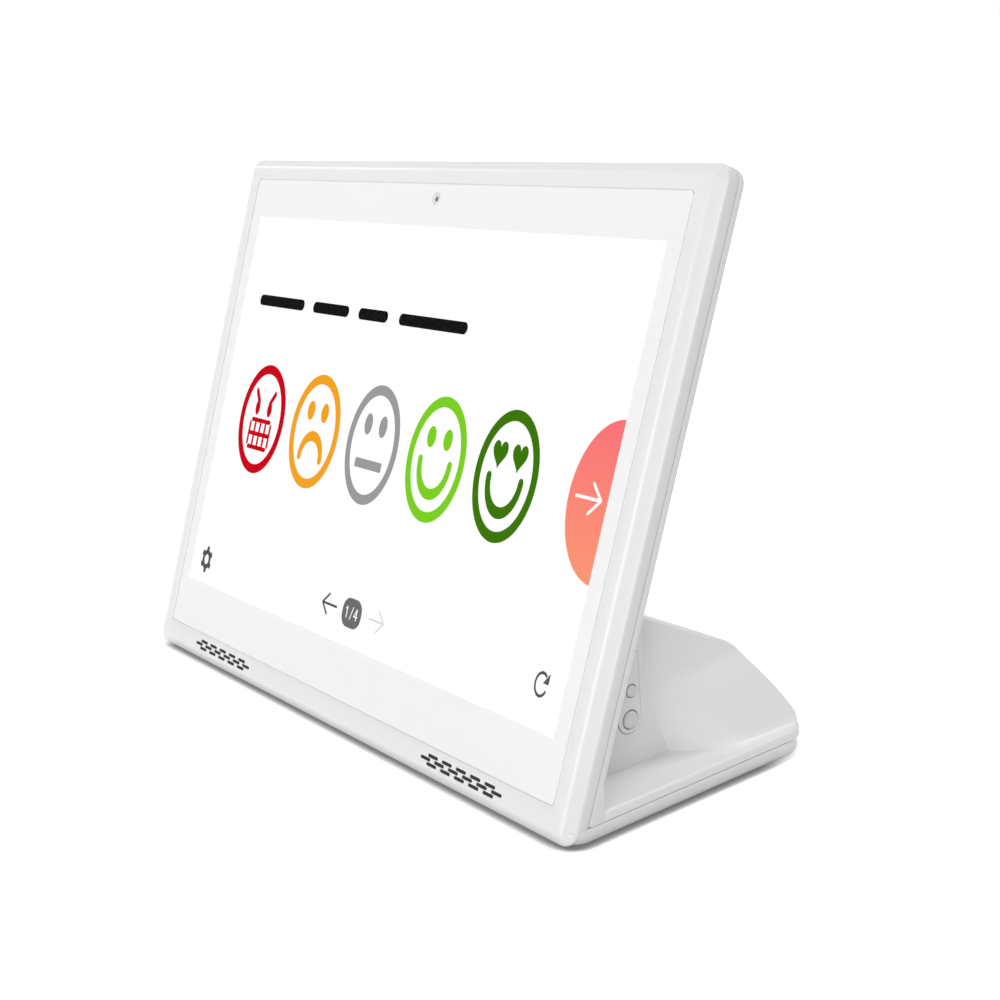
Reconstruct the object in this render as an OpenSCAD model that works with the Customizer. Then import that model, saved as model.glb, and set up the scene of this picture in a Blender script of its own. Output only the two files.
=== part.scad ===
// Customer feedback terminal: tilted touch panel and wedge base in one L-shaped case.
// Millimetres. X to the viewer's right, Y to the back, Z up, feet on Z = 0.

/* [Case] */
// width of the panel and of the base
panel_w = 248; // [236:1:270]
// height of the panel measured along its front
panel_h = 184; // [178:1:200]
// lean of the panel back from the vertical, degrees
tilt = 21.2; // [18:0.2:24]
// front edge of the panel to the back of the base
base_d = 95; // [93:1:110]
// thickness of the panel at its edge
edge_t = 8; // [8:0.1:11]
// wall of the mouldings
wall = 1.7; // [1.5:0.1:2]
// corner radius of the panel seen from the front
corner_r = 7; // [4:0.5:10]
// depth of the parting line behind the front
seam_d = 5.5; // [4.8:0.1:6]
// height of the parting line above the table
seam_z = 5.8; // [5:0.1:6.2]
// height of the flat shelf behind the panel
shelf_z = 8; // [8:0.1:10]
// width of the sloping outer half of the bezel
bezel_slope_w = 4.3; // [3:0.1:5]
// how far the bezel falls to its outer edge
bezel_slope_d = 2; // [1:0.1:2.2]

/* [Rear hump] */
// width of the flared shoulder on each side
shoulder_w = 16; // [14:0.5:20]
// height where the shoulder meets the upright side
crease_z = 28.5; // [25:0.5:32]
// height of the rear knee of the hump
knee_z = 35; // [33:0.5:40]
// fall of the hump's top toward the back, degrees
hump_slope = 28; // [24:0.5:30]
// distance of the knee from the back of the base
knee_d = 20; // [16:0.5:24]
// radius of the rear corners seen from above
plan_r = 10; // [6:0.5:14]
// end of the pocket's wall at the shelf
pocket_y1 = 52.3; // [50:0.1:56]
// lean of the pocket's rear face, degrees
pocket_lean = 20.5; // [10:0.5:25]
// sweep of the pocket's rear face toward the rear corner, degrees
pocket_sweep = 45; // [20:1:50]

/* [Screen] */
// bezel beside the glass
bezel_side = 9.7; // [9.5:0.1:11]
// bezel above the glass
bezel_top = 7.8; // [7.5:0.1:9]
// bezel below the glass
bezel_bottom = 10.3; // [9.8:0.1:12]
// cover glass thickness
glass_t = 1.1; // [0.7:0.1:1.2]
// clearance round the glass
glass_gap = 0.25; // [0.15:0.05:0.4]
// white border of the glass beside the picture
border_side = 5.8; // [5:0.1:7]
// white border of the glass above the picture
border_top = 13.2; // [12.8:0.1:15]
// white border of the glass below the picture
border_bottom = 17.1; // [15:0.1:19]
// diameter of the camera barrel
camera_d = 5; // [4:0.1:5.6]

/* [Speakers] */
// centre of each slot group from the side of the panel
speaker_in = 51; // [48:0.5:56]
// length of one slot
slot_l = 4.8; // [3.5:0.1:5.4]
// height of one slot
slot_h = 0.8; // [0.6:0.05:0.9]
// distance between slots in a row
slot_pitch = 7; // [6.6:0.1:7.2]
// distance between the slot rows
slot_row = 1.3; // [1.2:0.05:1.4]

/* [Side buttons] */
// diameter of the power button
power_d = 5.2; // [4.4:0.1:5.6]
// diameter of the function button
function_d = 3.4; // [2.6:0.1:3.8]
// clearance between a button and its hole
button_gap = 0.25; // [0.15:0.05:0.35]
// travel of the buttons
button_travel = 0.5; // [0.3:0.05:0.6]
// centre of the power button behind the front edge
power_y = 37.9; // [36:0.1:40]
// centre of the power button above the table
power_z = 22.3; // [20:0.1:24]
// function button above the power button
func_up = 8.5; // [7.5:0.1:10]
// function button behind the power button
func_back = 0.8; // [0:0.1:2]
// radius of the trim plate round the power button
plate_r = 4.2; // [4:0.1:5]

/* [Feet and screws] */
// how far the feet stand below the case
foot_h = 0.8; // [0.6:0.1:1.2]
// diameter of the feet
foot_d = 14; // [10:0.5:15]
// diameter of the case screws
case_screw_d = 2.5; // [2:0.1:3]
// diameter of the board screws
board_screw_d = 2.1; // [1.8:0.1:2.5]

/* [Electronics] */
// rear edge of the main board from the back of the base
board_rear = 31; // [29:0.5:34]
// height of the main board above the floor of the tray
board_up = 5.5; // [5:0.1:7]
// side of the processor
cpu_w = 20; // [14:0.5:22]
// width of the heat sink
sink_w = 30; // [26:0.5:34]
// height of the heat sink's fins
fin_h = 5; // [3:0.1:8]
// bore of the power inlet
dc_bore = 6; // [5.5:0.1:6.5]
// height of the speaker boxes
box_h = 10; // [9:0.1:11]
// depth of the speaker boxes at the floor
box_deep = 12.7; // [10:0.1:14]

/* [Hidden] */
$fn = 48;
cs = cos(tilt);
sn = sin(tilt);
// overshoot of a cut, clearances
over = 1;
thread_gap = 0.05;
through_gap = 0.2;
seat_gap = 0.02;
face_gap = 0.1;
// case
half_w = panel_w / 2;
hump_x = half_w - shoulder_w;
inner_x = hump_x - wall;
z_bot = foot_h;
floor_z = z_bot + wall;
front_r = 2.2;
face_v0 = 0.5;
foot_corner_r = 5;
front_y = (front_r + (z_bot + front_r) * sn) / cs - front_r;
y_mid = (front_y + base_d) / 2;
body_d = 1;
plan_front = 1.5;
rear_drop = 1.5;
rear_z = shelf_z - rear_drop;
pocket_y0 = 13.5;
pocket_z1 = 18.4;
pocket_up = 8;
pocket_bite = 0.5;
lip_l = 1.3;
lip_t = 1;
lip_gap = 0.2;
root = 0.5;
// glass and display
glass_d0 = 0.1;
glass_r = 1.3;
tape_t = 0.2;
tape_in = 0.5;
tape_window = 2;
window_gap = 1;
ledge_t = 1;
pocket_d = glass_d0 + glass_t + tape_t;
ledge_d = pocket_d + ledge_t;
glass_w = panel_w - 2 * bezel_side;
glass_v0 = bezel_bottom;
glass_v1 = panel_h - bezel_top;
act_w = glass_w - 2 * border_side;
act_v0 = glass_v0 + border_bottom;
act_v1 = glass_v1 - border_top;
lcd_side = 6.2;
lcd_low = 9.5;
lcd_high = 4;
lcd_x = act_w / 2 + lcd_side;
lcd_v0 = act_v0 - lcd_low;
lcd_v1 = act_v1 + lcd_high;
cell_t = 1.1;
light_t = 1.5;
light_in = 0.3;
lcd_back = ledge_d + cell_t + light_t;
rear_d = edge_t - wall;
touch_x = -24;
touch_w = 10;
touch_slot_w = 14;
touch_slot_h = 3.6;
touch_up = 2.2;
touch_slot_v = glass_v0 + touch_up;
// display brackets
bracket_t = 0.6;
bracket_w = 10.3;
bracket_end = 8;
bracket_r = 1;
bracket_low = 32;
bracket_high = 27;
bracket_boss_r = 2.3;
boss_in = 5.9;
boss_x = half_w - boss_in;
bracket_v = [lcd_v0 + bracket_low, lcd_v1 - bracket_high];
small_screw_d = 1.6;
small_head_d = 3.4;
bracket_head_t = 0.4;
bracket_bite = 0.6;
// camera
cam_in = 4.5;
cam_v = glass_v1 - cam_in;
cam_body = 8.5;
cam_t = 2.4;
cam_bore = 3;
cam_gap = 0.25;
lens_gap = 0.05;
lens_sink = 0.2;
// speakers
speaker_x = half_w - speaker_in;
mesh_t = 0.2;
gasket_t = 0.5;
slot_v = 6.1;
slot_half = 2.5 * slot_pitch + slot_l / 2;
box_d = ledge_d + mesh_t + gasket_t;
box_margin = 2.1;
box_w = 2 * (slot_half + box_margin);
box_wall = 1.2;
box_back = (box_d + floor_z * sn) / cs + box_deep;
mouth_in = 1.4;
mouth_low = 1.6;
mouth_high = 2.6;
mesh_margin = 1.9;
mesh_low = 1.7;
mesh_high = 4.3;
gasket_rim = 1.2;
gasket_low = 0.15;
cone_gap = 0.8;
cone_t = 0.4;
cone_h = 6.4;
cone_slot_w = 28;
cone_slot_h = 1;
// main board
pcb_t = 1.6;
pcb_gap = 2;
wall_gap = 2.3;
pcb_z = floor_z + board_up;
pcb_top = pcb_z + pcb_t;
pcb_x0 = -inner_x + wall_gap;
box_side_gap = 5;
pcb_x1 = speaker_x - box_w / 2 - box_side_gap;
pcb_y0 = box_back + pcb_gap;
pcb_y1 = base_d - board_rear;
pcb_cx = (pcb_x0 + pcb_x1) / 2;
hole_in = 5.5;
hole_rear_in = 9.5;
hole_step = 20;
pcb_holes = [[pcb_x0 + hole_in, pcb_y1 - hole_in], [pcb_x1 - hole_rear_in, pcb_y1 - hole_in],
  [pcb_x1 - hole_in, pcb_y0 + hole_in], [pcb_x0 + hole_step, pcb_y0 + hole_in]];
stand_r = 3;
board_head_t = 1.3;
board_bite = 0.6;
cpu_side = 17;
cpu_back = 4.5;
cpu_x = pcb_cx + cpu_side;
cpu_y = (pcb_y0 + pcb_y1) / 2 + cpu_back;
cpu_t = 1.4;
pad_in = 1;
pad_t = 0.8;
sink_deep = 28;
sink_t = 1.8;
fin_t = 2;
fin_n = 8;
sink_z = pcb_top + cpu_t + pad_t;
ram_w = 12;
ram_gap = 3;
ram_x = cpu_x + sink_w / 2 + ram_gap + ram_w / 2;
ram_deep = 10;
ram_t = 1.1;
ram_step = 13;
supply_x = cpu_x - sink_w;
supply_w = 16;
supply_deep = 14;
supply_t = 1.8;
coil_x = supply_x - sink_w;
coil_w = 12;
coil_t = 3;
// sockets on the board
socket_in = 2;
socket_y = pcb_y0 + socket_in;
socket_deep = 3.5;
socket_t = 1.6;
lcd_plug_w = 20;
lcd_plug_in = 9;
lcd_plug_x = pcb_x1 - lcd_plug_w / 2 - lcd_plug_in;
cam_plug_w = 8;
touch_plug_w = 12;
plug_w = 5;
plug_deep = 4;
plug_t = 3;
ant_plug_w = 3;
ant_plug_t = 1.4;
key_plug_deep = 10;
key_plug_t = 2;
lead_l_in = 4.5;
lead_l_x = -speaker_x + lead_l_in;
lead_r_x = speaker_x - box_w / 2 + plug_w;
lead_r_in = 13.5;
lead_r_y = pcb_y0 + lead_r_in;
lead_r = 0.7;
lead_up = 1.5;
// flat cables
flex_t = 0.16;
flex_d = lcd_back + flex_t / 2 + seat_gap;
flex_bend = 4.5;
flex_lift = 0.8;
lcd_flex_w = 18;
cam_flex_w = 7;
// feet and case screws
foot_in = 40;
foot_front = 16;
foot_rear = 15;
foot_sink = 0.8;
foot_gap = 0.1;
foot_at = [for (s = [-1, 1], y = [foot_front, base_d - foot_rear]) [s * (half_w - foot_in), y]];
low_in = 6.3;
low_y = 12;
low_top = 12;
mid_in = 8.3;
mid_rear = 23;
mid_top = 18;
tall_x = 40;
tall_rear = 17;
low_bosses = [[-inner_x + low_in, low_y], [inner_x - low_in, low_y]];
mid_bosses = [[-inner_x + mid_in, base_d - mid_rear], [inner_x - mid_in, base_d - mid_rear]];
tall_bosses = [[-tall_x, base_d - tall_rear], [tall_x, base_d - tall_rear]];
case_bosses = concat(low_bosses, mid_bosses, tall_bosses);
boss_r = 3.8;
rear_boss_r = 3.4;
rib_t = 3;
pad_h = 1.8;
pad_z = floor_z + pad_h;
case_head_t = 1.4;
case_sink = 0.4;
case_bite = 6;
// side buttons
func_y = power_y + func_back;
func_z = power_z + func_up;
plate_t = 0.4;
tip_r = 1.1;
tip_up = 18.7;
tip_back = 2.7;
proud = 0.6;
flange_t = 1;
flange_w = 1;
stem_r = 1.2;
stem_l = 1;
switch_t = 3.5;
switch_w = 6;
switch_bore = 3.1;
plunger_d = 2.6;
plunger_in = 1.1;
plunger_out = 0.6;
switch_x1 = inner_x - flange_t - thread_gap - plunger_out - stem_l - button_travel;
bb_x1 = switch_x1 - switch_t;
bb_t = 1.2;
bb_deep = 17;
bb_h = 26;
bb_front = 7.9;
bb_low = 10.4;
bb_y0 = power_y - bb_front;
bb_z0 = power_z - bb_low;
bb_in = 3;
bb_post_r = 2.2;
bb_head_t = 1;
bb_bite = 3;
bb_posts = [[bb_y0 + bb_in, bb_z0 + bb_h - bb_in], [bb_y0 + bb_deep - bb_in, bb_z0 + bb_in]];
key_wire_w = 6;
key_wire_t = 0.3;
key_plug_in = 2;
key_plug_y = bb_y0 + bb_deep - key_plug_in;
// power inlet and service port on the left
dc_in = 6;
dc_w = 9;
dc_l = 14.4;
dc_h = 11;
dc_up = 6.5;
dc_hole_r = 4.2;
dc_pin_d = 2;
dc_pin_in = 1.4;
dc_deep = 10.4;
dc_y = pcb_y0 + dc_in;
dc_z = pcb_top + dc_up;
usb_step = 13.6;
usb_w = 13.2;
usb_h = 7;
usb_l = 13.9;
usb_wall = 0.5;
usb_rear = 0.8;
usb_tongue_in = 0.9;
usb_tongue_w = 11;
usb_tongue_t = 1.8;
usb_hole_gap = 0.3;
usb_y = dc_y + usb_step;
usb_z = pcb_top + usb_h / 2;
// radio
ant_in = 64;
ant_w = 40;
ant_h = 8;
ant_t = 0.2;
ant_up = 1;
ant_wire_in = 62;
ant_wire_r = 0.4;
ant_wire_x = -half_w + ant_wire_in;

// point helpers in the side plane: depth d behind the front at height z, or at v along the panel
function y_at(d, z) = (d + z * sn) / cs;
function yz(d, v) = [d * cs + v * sn, v * cs - d * sn];
function turn(p, r, a) = p + r * [cos(a), sin(a)];

// polygon moved inward by e; corners stay corners
function unit_left(a, b) = [a[1] - b[1], b[0] - a[0]] / norm(b - a);
function inset_poly(p, e) = [for (i = [0 : len(p) - 1])
  let (a = p[(i + len(p) - 1) % len(p)], b = p[i], c = p[(i + 1) % len(p)],
       q = a + unit_left(a, b) * e, s = b + unit_left(b, c) * e)
  q + (b - a) * (cross(s - q, c - b) / cross(b - a, c - b))];

// strip of thickness t whose middle line follows the points p
function strip_n(p, i) = let (a = p[max(i - 1, 0)], b = p[min(i + 1, len(p) - 1)]) unit_left(a, b);
function strip(p, t) = concat(
  [for (i = [0 : len(p) - 1]) p[i] + strip_n(p, i) * t / 2],
  [for (i = [len(p) - 1 : -1 : 0]) p[i] - strip_n(p, i) * t / 2]);

module place() translate([0, -y_mid, 0]) children();
module panel_frame() rotate([90 - tilt, 0, 0]) children();
// flat piece parallel to the screen from depth d0 to depth d1
module sheet(d0, d1) panel_frame() translate([0, 0, -d1]) linear_extrude(d1 - d0) children();
// side-plane outline drawn out along X
module along_x(x0, x1) translate([x0, 0, 0]) rotate([90, 0, 90]) linear_extrude(x1 - x0) children();
module rrect(x0, y0, x1, y1, r) {
  translate([x0 + r, y0]) square([x1 - x0 - 2 * r, y1 - y0]);
  translate([x0, y0 + r]) square([x1 - x0, y1 - y0 - 2 * r]);
  for (x = [x0 + r, x1 - r], y = [y0 + r, y1 - r]) translate([x, y]) circle(r);
}
module box(x0, y0, z0, x1, y1, z1) translate([x0, y0, z0]) cube([x1 - x0, y1 - y0, z1 - z0]);
// box on the top of the main board, from its middle, its front edge and its sizes
module on_board(x, y, w, d, t) box(x - w / 2, y, pcb_top, x + w / 2, y + d, pcb_top + t);
module rod(p, q, r) {
  d = q - p;
  l = norm(d);
  translate(p) rotate([0, acos(d[2] / l), atan2(d[1], d[0])]) cylinder(r = r, h = l);
}
module post_x(y, z, x0, x1, r) translate([x0, y, z]) rotate([0, 90, 0]) cylinder(r = r, h = x1 - x0);
module circle_at(p, r) translate(p) circle(r);

// outlines of the case; e moves every outside face inward
knee_y = base_d - knee_d;
hump_y0 = (body_d + (knee_z + knee_y * tan(hump_slope)) * sn) / (cs + tan(hump_slope) * sn);
function rear(f, g) = [base_d - knee_d * f, rear_z + (knee_z - rear_z) * g];
side_poly = [[y_at(body_d, z_bot), z_bot], [base_d, z_bot], rear(0, 0), rear(0.15, 0.175), rear(0.26, 0.404),
  rear(0.46, 0.684), rear(0.725, 0.888), rear(1, 1),
  [hump_y0, knee_z + (knee_y - hump_y0) * tan(hump_slope)]];
end_poly = [[-half_w, z_bot], [half_w, z_bot], [half_w, shelf_z], [hump_x, crease_z], [hump_x, panel_h],
  [-hump_x, panel_h], [-hump_x, crease_z], [-half_w, shelf_z]];
pocket_top = crease_z + pocket_up;
pocket_poly = [[pocket_y0, shelf_z], [base_d, shelf_z], [base_d, pocket_top],
  [y_at(edge_t - pocket_bite, pocket_top), pocket_top], [y_at(edge_t - pocket_bite, pocket_z1), pocket_z1]];

module panel_face(e) {
  r = corner_r - e;
  q = foot_corner_r - e;
  translate([-half_w + e + q, face_v0 + e]) square([panel_w - 2 * e - 2 * q, panel_h / 4]);
  translate([-half_w + e, face_v0 + e + q]) square([panel_w - 2 * e, panel_h - 2 * e - face_v0 - q - r]);
  translate([-half_w + e + r, panel_h * 0.75 - e]) square([panel_w - 2 * e - 2 * r, panel_h / 4]);
  for (s = [-1, 1]) {
    translate([s * (half_w - e - r), panel_h - e - r]) circle(r);
    translate([s * (half_w - e - q), face_v0 + e + q]) circle(q);
  }
}
module plan(e) rrect(-half_w + e, -plan_front, half_w - e, base_d - e, plan_r - e);
// hollow behind the panel on the right, its rear face swept toward the rear corner
module pocket(e) intersection() {
  along_x(hump_x - e, half_w + shoulder_w) polygon(inset_poly(pocket_poly, -e));
  translate([hump_x, pocket_y1, shelf_z]) rotate([pocket_lean, 0, 0]) rotate([0, 0, pocket_sweep])
    translate([-panel_w, -2 * panel_w + e, -panel_h]) cube([2 * panel_w, 2 * panel_w, 2 * panel_h]);
}
module base_body(e) difference() {
  intersection() {
    along_x(-half_w, half_w) polygon(inset_poly(side_poly, e));
    translate([0, base_d * 1.1, 0]) rotate([90, 0, 0]) linear_extrude(base_d * 1.2)
      polygon(inset_poly(end_poly, e));
    linear_extrude(panel_h) plan(e);
  }
  pocket(e);
  mirror([1, 0, 0]) pocket(e);
}
// wedge in front of the line that starts the bezel's slope, in the plane across that edge
module slope_cut(u) polygon([[u - bezel_slope_w, 0], [u + bezel_slope_w, -2 * bezel_slope_d],
  [u + bezel_slope_w, bezel_slope_w], [u - bezel_slope_w, bezel_slope_w]]);
// outside of the whole case
module outside() {
  difference() {
    sheet(0, edge_t) panel_face(0);
    box(-panel_w, -base_d, -base_d, panel_w, base_d, z_bot);
    for (s = [0, 1]) mirror([s, 0, 0]) panel_frame() translate([0, panel_h * 1.1, 0]) rotate([90, 0, 0])
      linear_extrude(panel_h * 1.2) slope_cut(half_w);
    panel_frame() rotate([90, 0, 90]) translate([0, 0, -panel_w]) linear_extrude(2 * panel_w)
      slope_cut(panel_h);
    front_edge();
  }
  difference() {
    base_body(0);
    front_edge();
  }
}
// rounding under the front edge
module front_edge() {
  c = [y_at(front_r, z_bot + front_r), z_bot + front_r];
  along_x(-panel_w, panel_w) difference() {
    polygon([c, [c[0], z_bot - front_r], [c[0] - 4 * front_r, z_bot - front_r],
      [c[0] - 4 * front_r, c[1] + 3 * front_r], [c[0] - front_r * cs, c[1] + front_r * sn]]);
    circle_at(c, front_r);
  }
}
module cavity() {
  intersection() {
    sheet(ledge_d, rear_d) panel_face(wall);
    box(-half_w, -base_d, floor_z, half_w, 2 * base_d, 2 * panel_h);
  }
  base_body(wall);
}
// what lies in front of and below the parting line
module front_zone() along_x(-panel_w, panel_w) polygon([[-base_d, -base_d], [2 * base_d, -base_d],
  [2 * base_d, seam_z], [y_at(seam_d, seam_z), seam_z], yz(seam_d, 2 * panel_h), yz(-base_d, 2 * panel_h)]);

module slots() for (s = [-1, 1], k = [-1, 0, 1], i = [0 : (k == 0 ? 5 : 4)])
  translate([s * speaker_x + (i - (k == 0 ? 2.5 : 2)) * slot_pitch, slot_v + k * slot_row]) {
    square([slot_l - slot_h, slot_h], center = true);
    for (t = [-1, 1]) translate([t * (slot_l - slot_h) / 2, 0]) circle(slot_h / 2, $fn = 16);
  }

module front_shell() color([0.9, 0.9, 0.9]) place() difference() {
  union() {
    difference() {
      intersection() {
        outside();
        front_zone();
      }
      cavity();
    }
    for (s = [-1, 1], v = bracket_v) sheet(ledge_d - root, lcd_back) translate([s * boss_x, v])
      circle(bracket_boss_r);
    for (p = pcb_holes) translate([p[0], p[1], floor_z - root]) cylinder(r = stand_r, h = board_up + root);
    for (p = case_bosses) translate([p[0], p[1], floor_z - root]) cylinder(r = boss_r, h = pad_h + root);
  }
  // seat of the glass, window, camera hole, slot for the touch cable
  sheet(-over, pocket_d) rrect(-glass_w / 2 - glass_gap, glass_v0 - glass_gap, glass_w / 2 + glass_gap,
    glass_v1 + glass_gap, glass_r + glass_gap);
  sheet(-over, ledge_d + over / 2) {
    translate([-act_w / 2 - window_gap, act_v0 - window_gap])
      square([act_w + 2 * window_gap, act_v1 - act_v0 + 2 * window_gap]);
    translate([0, cam_v]) circle(camera_d / 2 + through_gap);
    translate([touch_x - touch_slot_w / 2, touch_slot_v]) square([touch_slot_w, touch_slot_h]);
    slots();
  }
  for (s = [-1, 1], v = bracket_v) sheet(ledge_d + bracket_bite - thread_gap, lcd_back + over)
    translate([s * boss_x, v]) circle(small_screw_d / 2 + thread_gap);
  for (p = pcb_holes) translate([p[0], p[1], floor_z + board_bite])
    cylinder(r = board_screw_d / 2 + thread_gap, h = board_up);
  for (p = case_bosses) translate([p[0], p[1], z_bot - over]) {
    cylinder(r = case_screw_d + through_gap, h = over + case_sink + case_head_t);
    cylinder(r = case_screw_d / 2 + through_gap, h = pad_z + over);
  }
  for (p = foot_at) translate([p[0], p[1], z_bot - over])
    cylinder(r = foot_d / 2 + foot_gap, h = foot_sink + over);
}

module rear_boss(p, z1) translate([p[0], p[1], pad_z]) cylinder(r = rear_boss_r, h = z1 - pad_z);
module rear_cover() color([0.88, 0.88, 0.88]) place() difference() {
  union() {
    difference() {
      outside();
      front_zone();
      cavity();
    }
    // lip inside the upper edge of the front shell
    sheet(seam_d - lip_l, rear_d + root) difference() {
      intersection() {
        panel_face(wall + lip_gap);
        translate([-half_w, panel_h * 0.4]) square([panel_w, panel_h]);
      }
      panel_face(wall + lip_gap + lip_t);
    }
    for (p = low_bosses) {
      rear_boss(p, low_top);
      mirror([p[0] < 0 ? 1 : 0, 0, 0]) box(abs(p[0]), low_y - rib_t / 2, pad_z + rib_t, hump_x - root,
        low_y + rib_t / 2 + over, low_top);
    }
    for (p = mid_bosses) {
      rear_boss(p, mid_top);
      mirror([p[0] < 0 ? 1 : 0, 0, 0]) translate([0, p[1] + rib_t / 2, 0]) rotate([90, 0, 0])
        linear_extrude(rib_t) intersection() {
          translate([abs(p[0]), seam_z + over]) square([half_w, mid_top - seam_z - over]);
          polygon(inset_poly(end_poly, root));
        }
    }
    for (p = tall_bosses) intersection() {
      rear_boss(p, panel_h);
      along_x(-half_w, half_w) polygon(inset_poly(side_poly, root));
    }
    for (p = bb_posts) post_x(p[0], p[1], bb_x1, hump_x - root, bb_post_r);
  }
  for (p = case_bosses) translate([p[0], p[1], pad_z - over])
    cylinder(r = case_screw_d / 2 + thread_gap, h = case_bite + 2 * over);
  for (p = bb_posts) post_x(p[0], p[1], bb_x1 - over, bb_x1 + bb_bite + over, small_screw_d / 2 + thread_gap);
  post_x(power_y, power_z, inner_x - over, hump_x + over, power_d / 2 + button_gap);
  post_x(func_y, func_z, inner_x - over, hump_x + over, function_d / 2 + button_gap);
  post_x(dc_y, dc_z, -hump_x - over, -inner_x + over, dc_hole_r);
  box(-hump_x - over, usb_y - usb_w / 2 - usb_hole_gap, pcb_top + usb_hole_gap, -inner_x + over,
    usb_y + usb_w / 2 + usb_hole_gap, pcb_top + usb_h - usb_hole_gap);
}

module touch_glass() color([0.96, 0.97, 0.97]) place() sheet(glass_d0, glass_d0 + glass_t)
  rrect(-glass_w / 2, glass_v0, glass_w / 2, glass_v1, glass_r);
module glass_tape() color([0.15, 0.15, 0.15]) place() sheet(glass_d0 + glass_t, pocket_d) difference() {
  rrect(-glass_w / 2 + tape_in, glass_v0 + tape_in, glass_w / 2 - tape_in, glass_v1 - tape_in,
    glass_r - tape_in / 2);
  translate([-act_w / 2 - tape_window, act_v0 - tape_window])
    square([act_w + 2 * tape_window, act_v1 - act_v0 + 2 * tape_window]);
  translate([0, cam_v]) circle(camera_d / 2 + 2 * through_gap);
  translate([touch_x - touch_slot_w / 2, touch_slot_v - tape_in])
    square([touch_slot_w, touch_slot_h + tape_in]);
}
module lcd_face(e) translate([-lcd_x + e, lcd_v0 + e]) square([2 * lcd_x - 2 * e, lcd_v1 - lcd_v0 - 2 * e]);
module lcd_panel() color([0.97, 0.97, 0.99]) place() sheet(ledge_d, ledge_d + cell_t) lcd_face(0);
module lcd_backlight() color([0.7, 0.71, 0.73]) place() sheet(ledge_d + cell_t, lcd_back) lcd_face(light_in);
module lcd_brackets() color([0.62, 0.63, 0.65]) place() sheet(lcd_back, lcd_back + bracket_t)
  for (s = [0, 1]) mirror([s, 0, 0]) difference() {
    rrect(boss_x + bracket_boss_r - bracket_w, bracket_v[0] - bracket_end, boss_x + bracket_boss_r,
      bracket_v[1] + bracket_end, bracket_r);
    for (v = bracket_v) translate([boss_x, v]) circle(small_screw_d / 2 + through_gap);
  }
module lcd_bracket_screws() color([0.5, 0.5, 0.52]) place() for (s = [-1, 1], v = bracket_v) {
  sheet(lcd_back + bracket_t, lcd_back + bracket_t + bracket_head_t) translate([s * boss_x, v])
    circle(small_head_d / 2);
  sheet(ledge_d + bracket_bite, lcd_back + bracket_t + face_gap) translate([s * boss_x, v])
    circle(small_screw_d / 2);
}
module camera_module() color([0.08, 0.08, 0.08]) place() {
  sheet(ledge_d, ledge_d + cam_t) translate([-cam_body / 2, cam_v - cam_body / 2]) square(cam_body);
  sheet(glass_d0 + glass_t + cam_gap, ledge_d + face_gap) translate([0, cam_v]) difference() {
    circle(camera_d / 2);
    circle(cam_bore / 2);
  }
}
module camera_lens() color([0.05, 0.05, 0.1]) place() sheet(glass_d0 + glass_t + cam_gap + lens_sink, ledge_d)
  translate([0, cam_v]) circle(cam_bore / 2 - lens_gap);
// last points of a flat cable on its way into a socket at the front of the board
flex_end = [[pcb_y0, pcb_top + flex_lift + through_gap], [socket_y - thread_gap, pcb_top + flex_lift]];
module camera_flex() color([0.8, 0.5, 0.15]) place() along_x(-cam_flex_w / 2, cam_flex_w / 2) polygon(strip(
  concat([yz(flex_d, cam_v - cam_body / 2 - thread_gap), yz(flex_d, lcd_v0 + flex_bend),
    [pcb_y0 - flex_bend, pcb_top + flex_bend]], flex_end), flex_t));

// speaker boxes lean on the front wall and stand on the floor of the tray
box_poly = [[y_at(box_d, floor_z), floor_z], [box_back, floor_z], [box_back, floor_z + box_h],
  [y_at(box_d, floor_z + box_h), floor_z + box_h]];
module speaker_box(s) difference() {
  along_x(s * speaker_x - box_w / 2, s * speaker_x + box_w / 2) polygon(box_poly);
  along_x(s * speaker_x - box_w / 2 + box_wall, s * speaker_x + box_w / 2 - box_wall)
    polygon(inset_poly(box_poly, box_wall));
  sheet(box_d - over, box_d + box_wall + over)
    translate([s * speaker_x - slot_half + mouth_in, slot_v - mouth_low])
    square([2 * slot_half - 2 * mouth_in, mouth_low + mouth_high]);
}
module speaker_box_left() color([0.12, 0.12, 0.13]) place() speaker_box(-1);
module speaker_box_right() color([0.12, 0.12, 0.13]) place() speaker_box(1);
module speaker_cones() color([0.2, 0.2, 0.21]) place() for (s = [-1, 1])
  sheet(box_d + box_wall, box_d + box_wall + cone_t)
    translate([s * speaker_x, slot_v + cone_h / 2]) difference() {
      square([box_w - 2 * box_wall - 2 * cone_gap, cone_h], center = true);
      square([cone_slot_w, cone_slot_h], center = true);
    }
module speaker_gaskets() color([0.16, 0.16, 0.16]) place() for (s = [-1, 1])
  sheet(ledge_d + mesh_t, box_d) translate([s * speaker_x, slot_v]) difference() {
    translate([-slot_half - mesh_margin, -mesh_low])
      square([2 * slot_half + 2 * mesh_margin, mesh_low + mesh_high]);
    translate([-slot_half - mesh_margin + gasket_rim, -mesh_low + gasket_low])
      square([2 * slot_half + 2 * mesh_margin - 2 * gasket_rim,
        mesh_low + mesh_high - gasket_low - gasket_rim]);
  }
module speaker_meshes() color([0.03, 0.03, 0.03]) place() for (s = [-1, 1])
  sheet(ledge_d, ledge_d + mesh_t) translate([s * speaker_x - slot_half - mesh_margin, slot_v - mesh_low])
    square([2 * slot_half + 2 * mesh_margin, mesh_low + mesh_high]);

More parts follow.
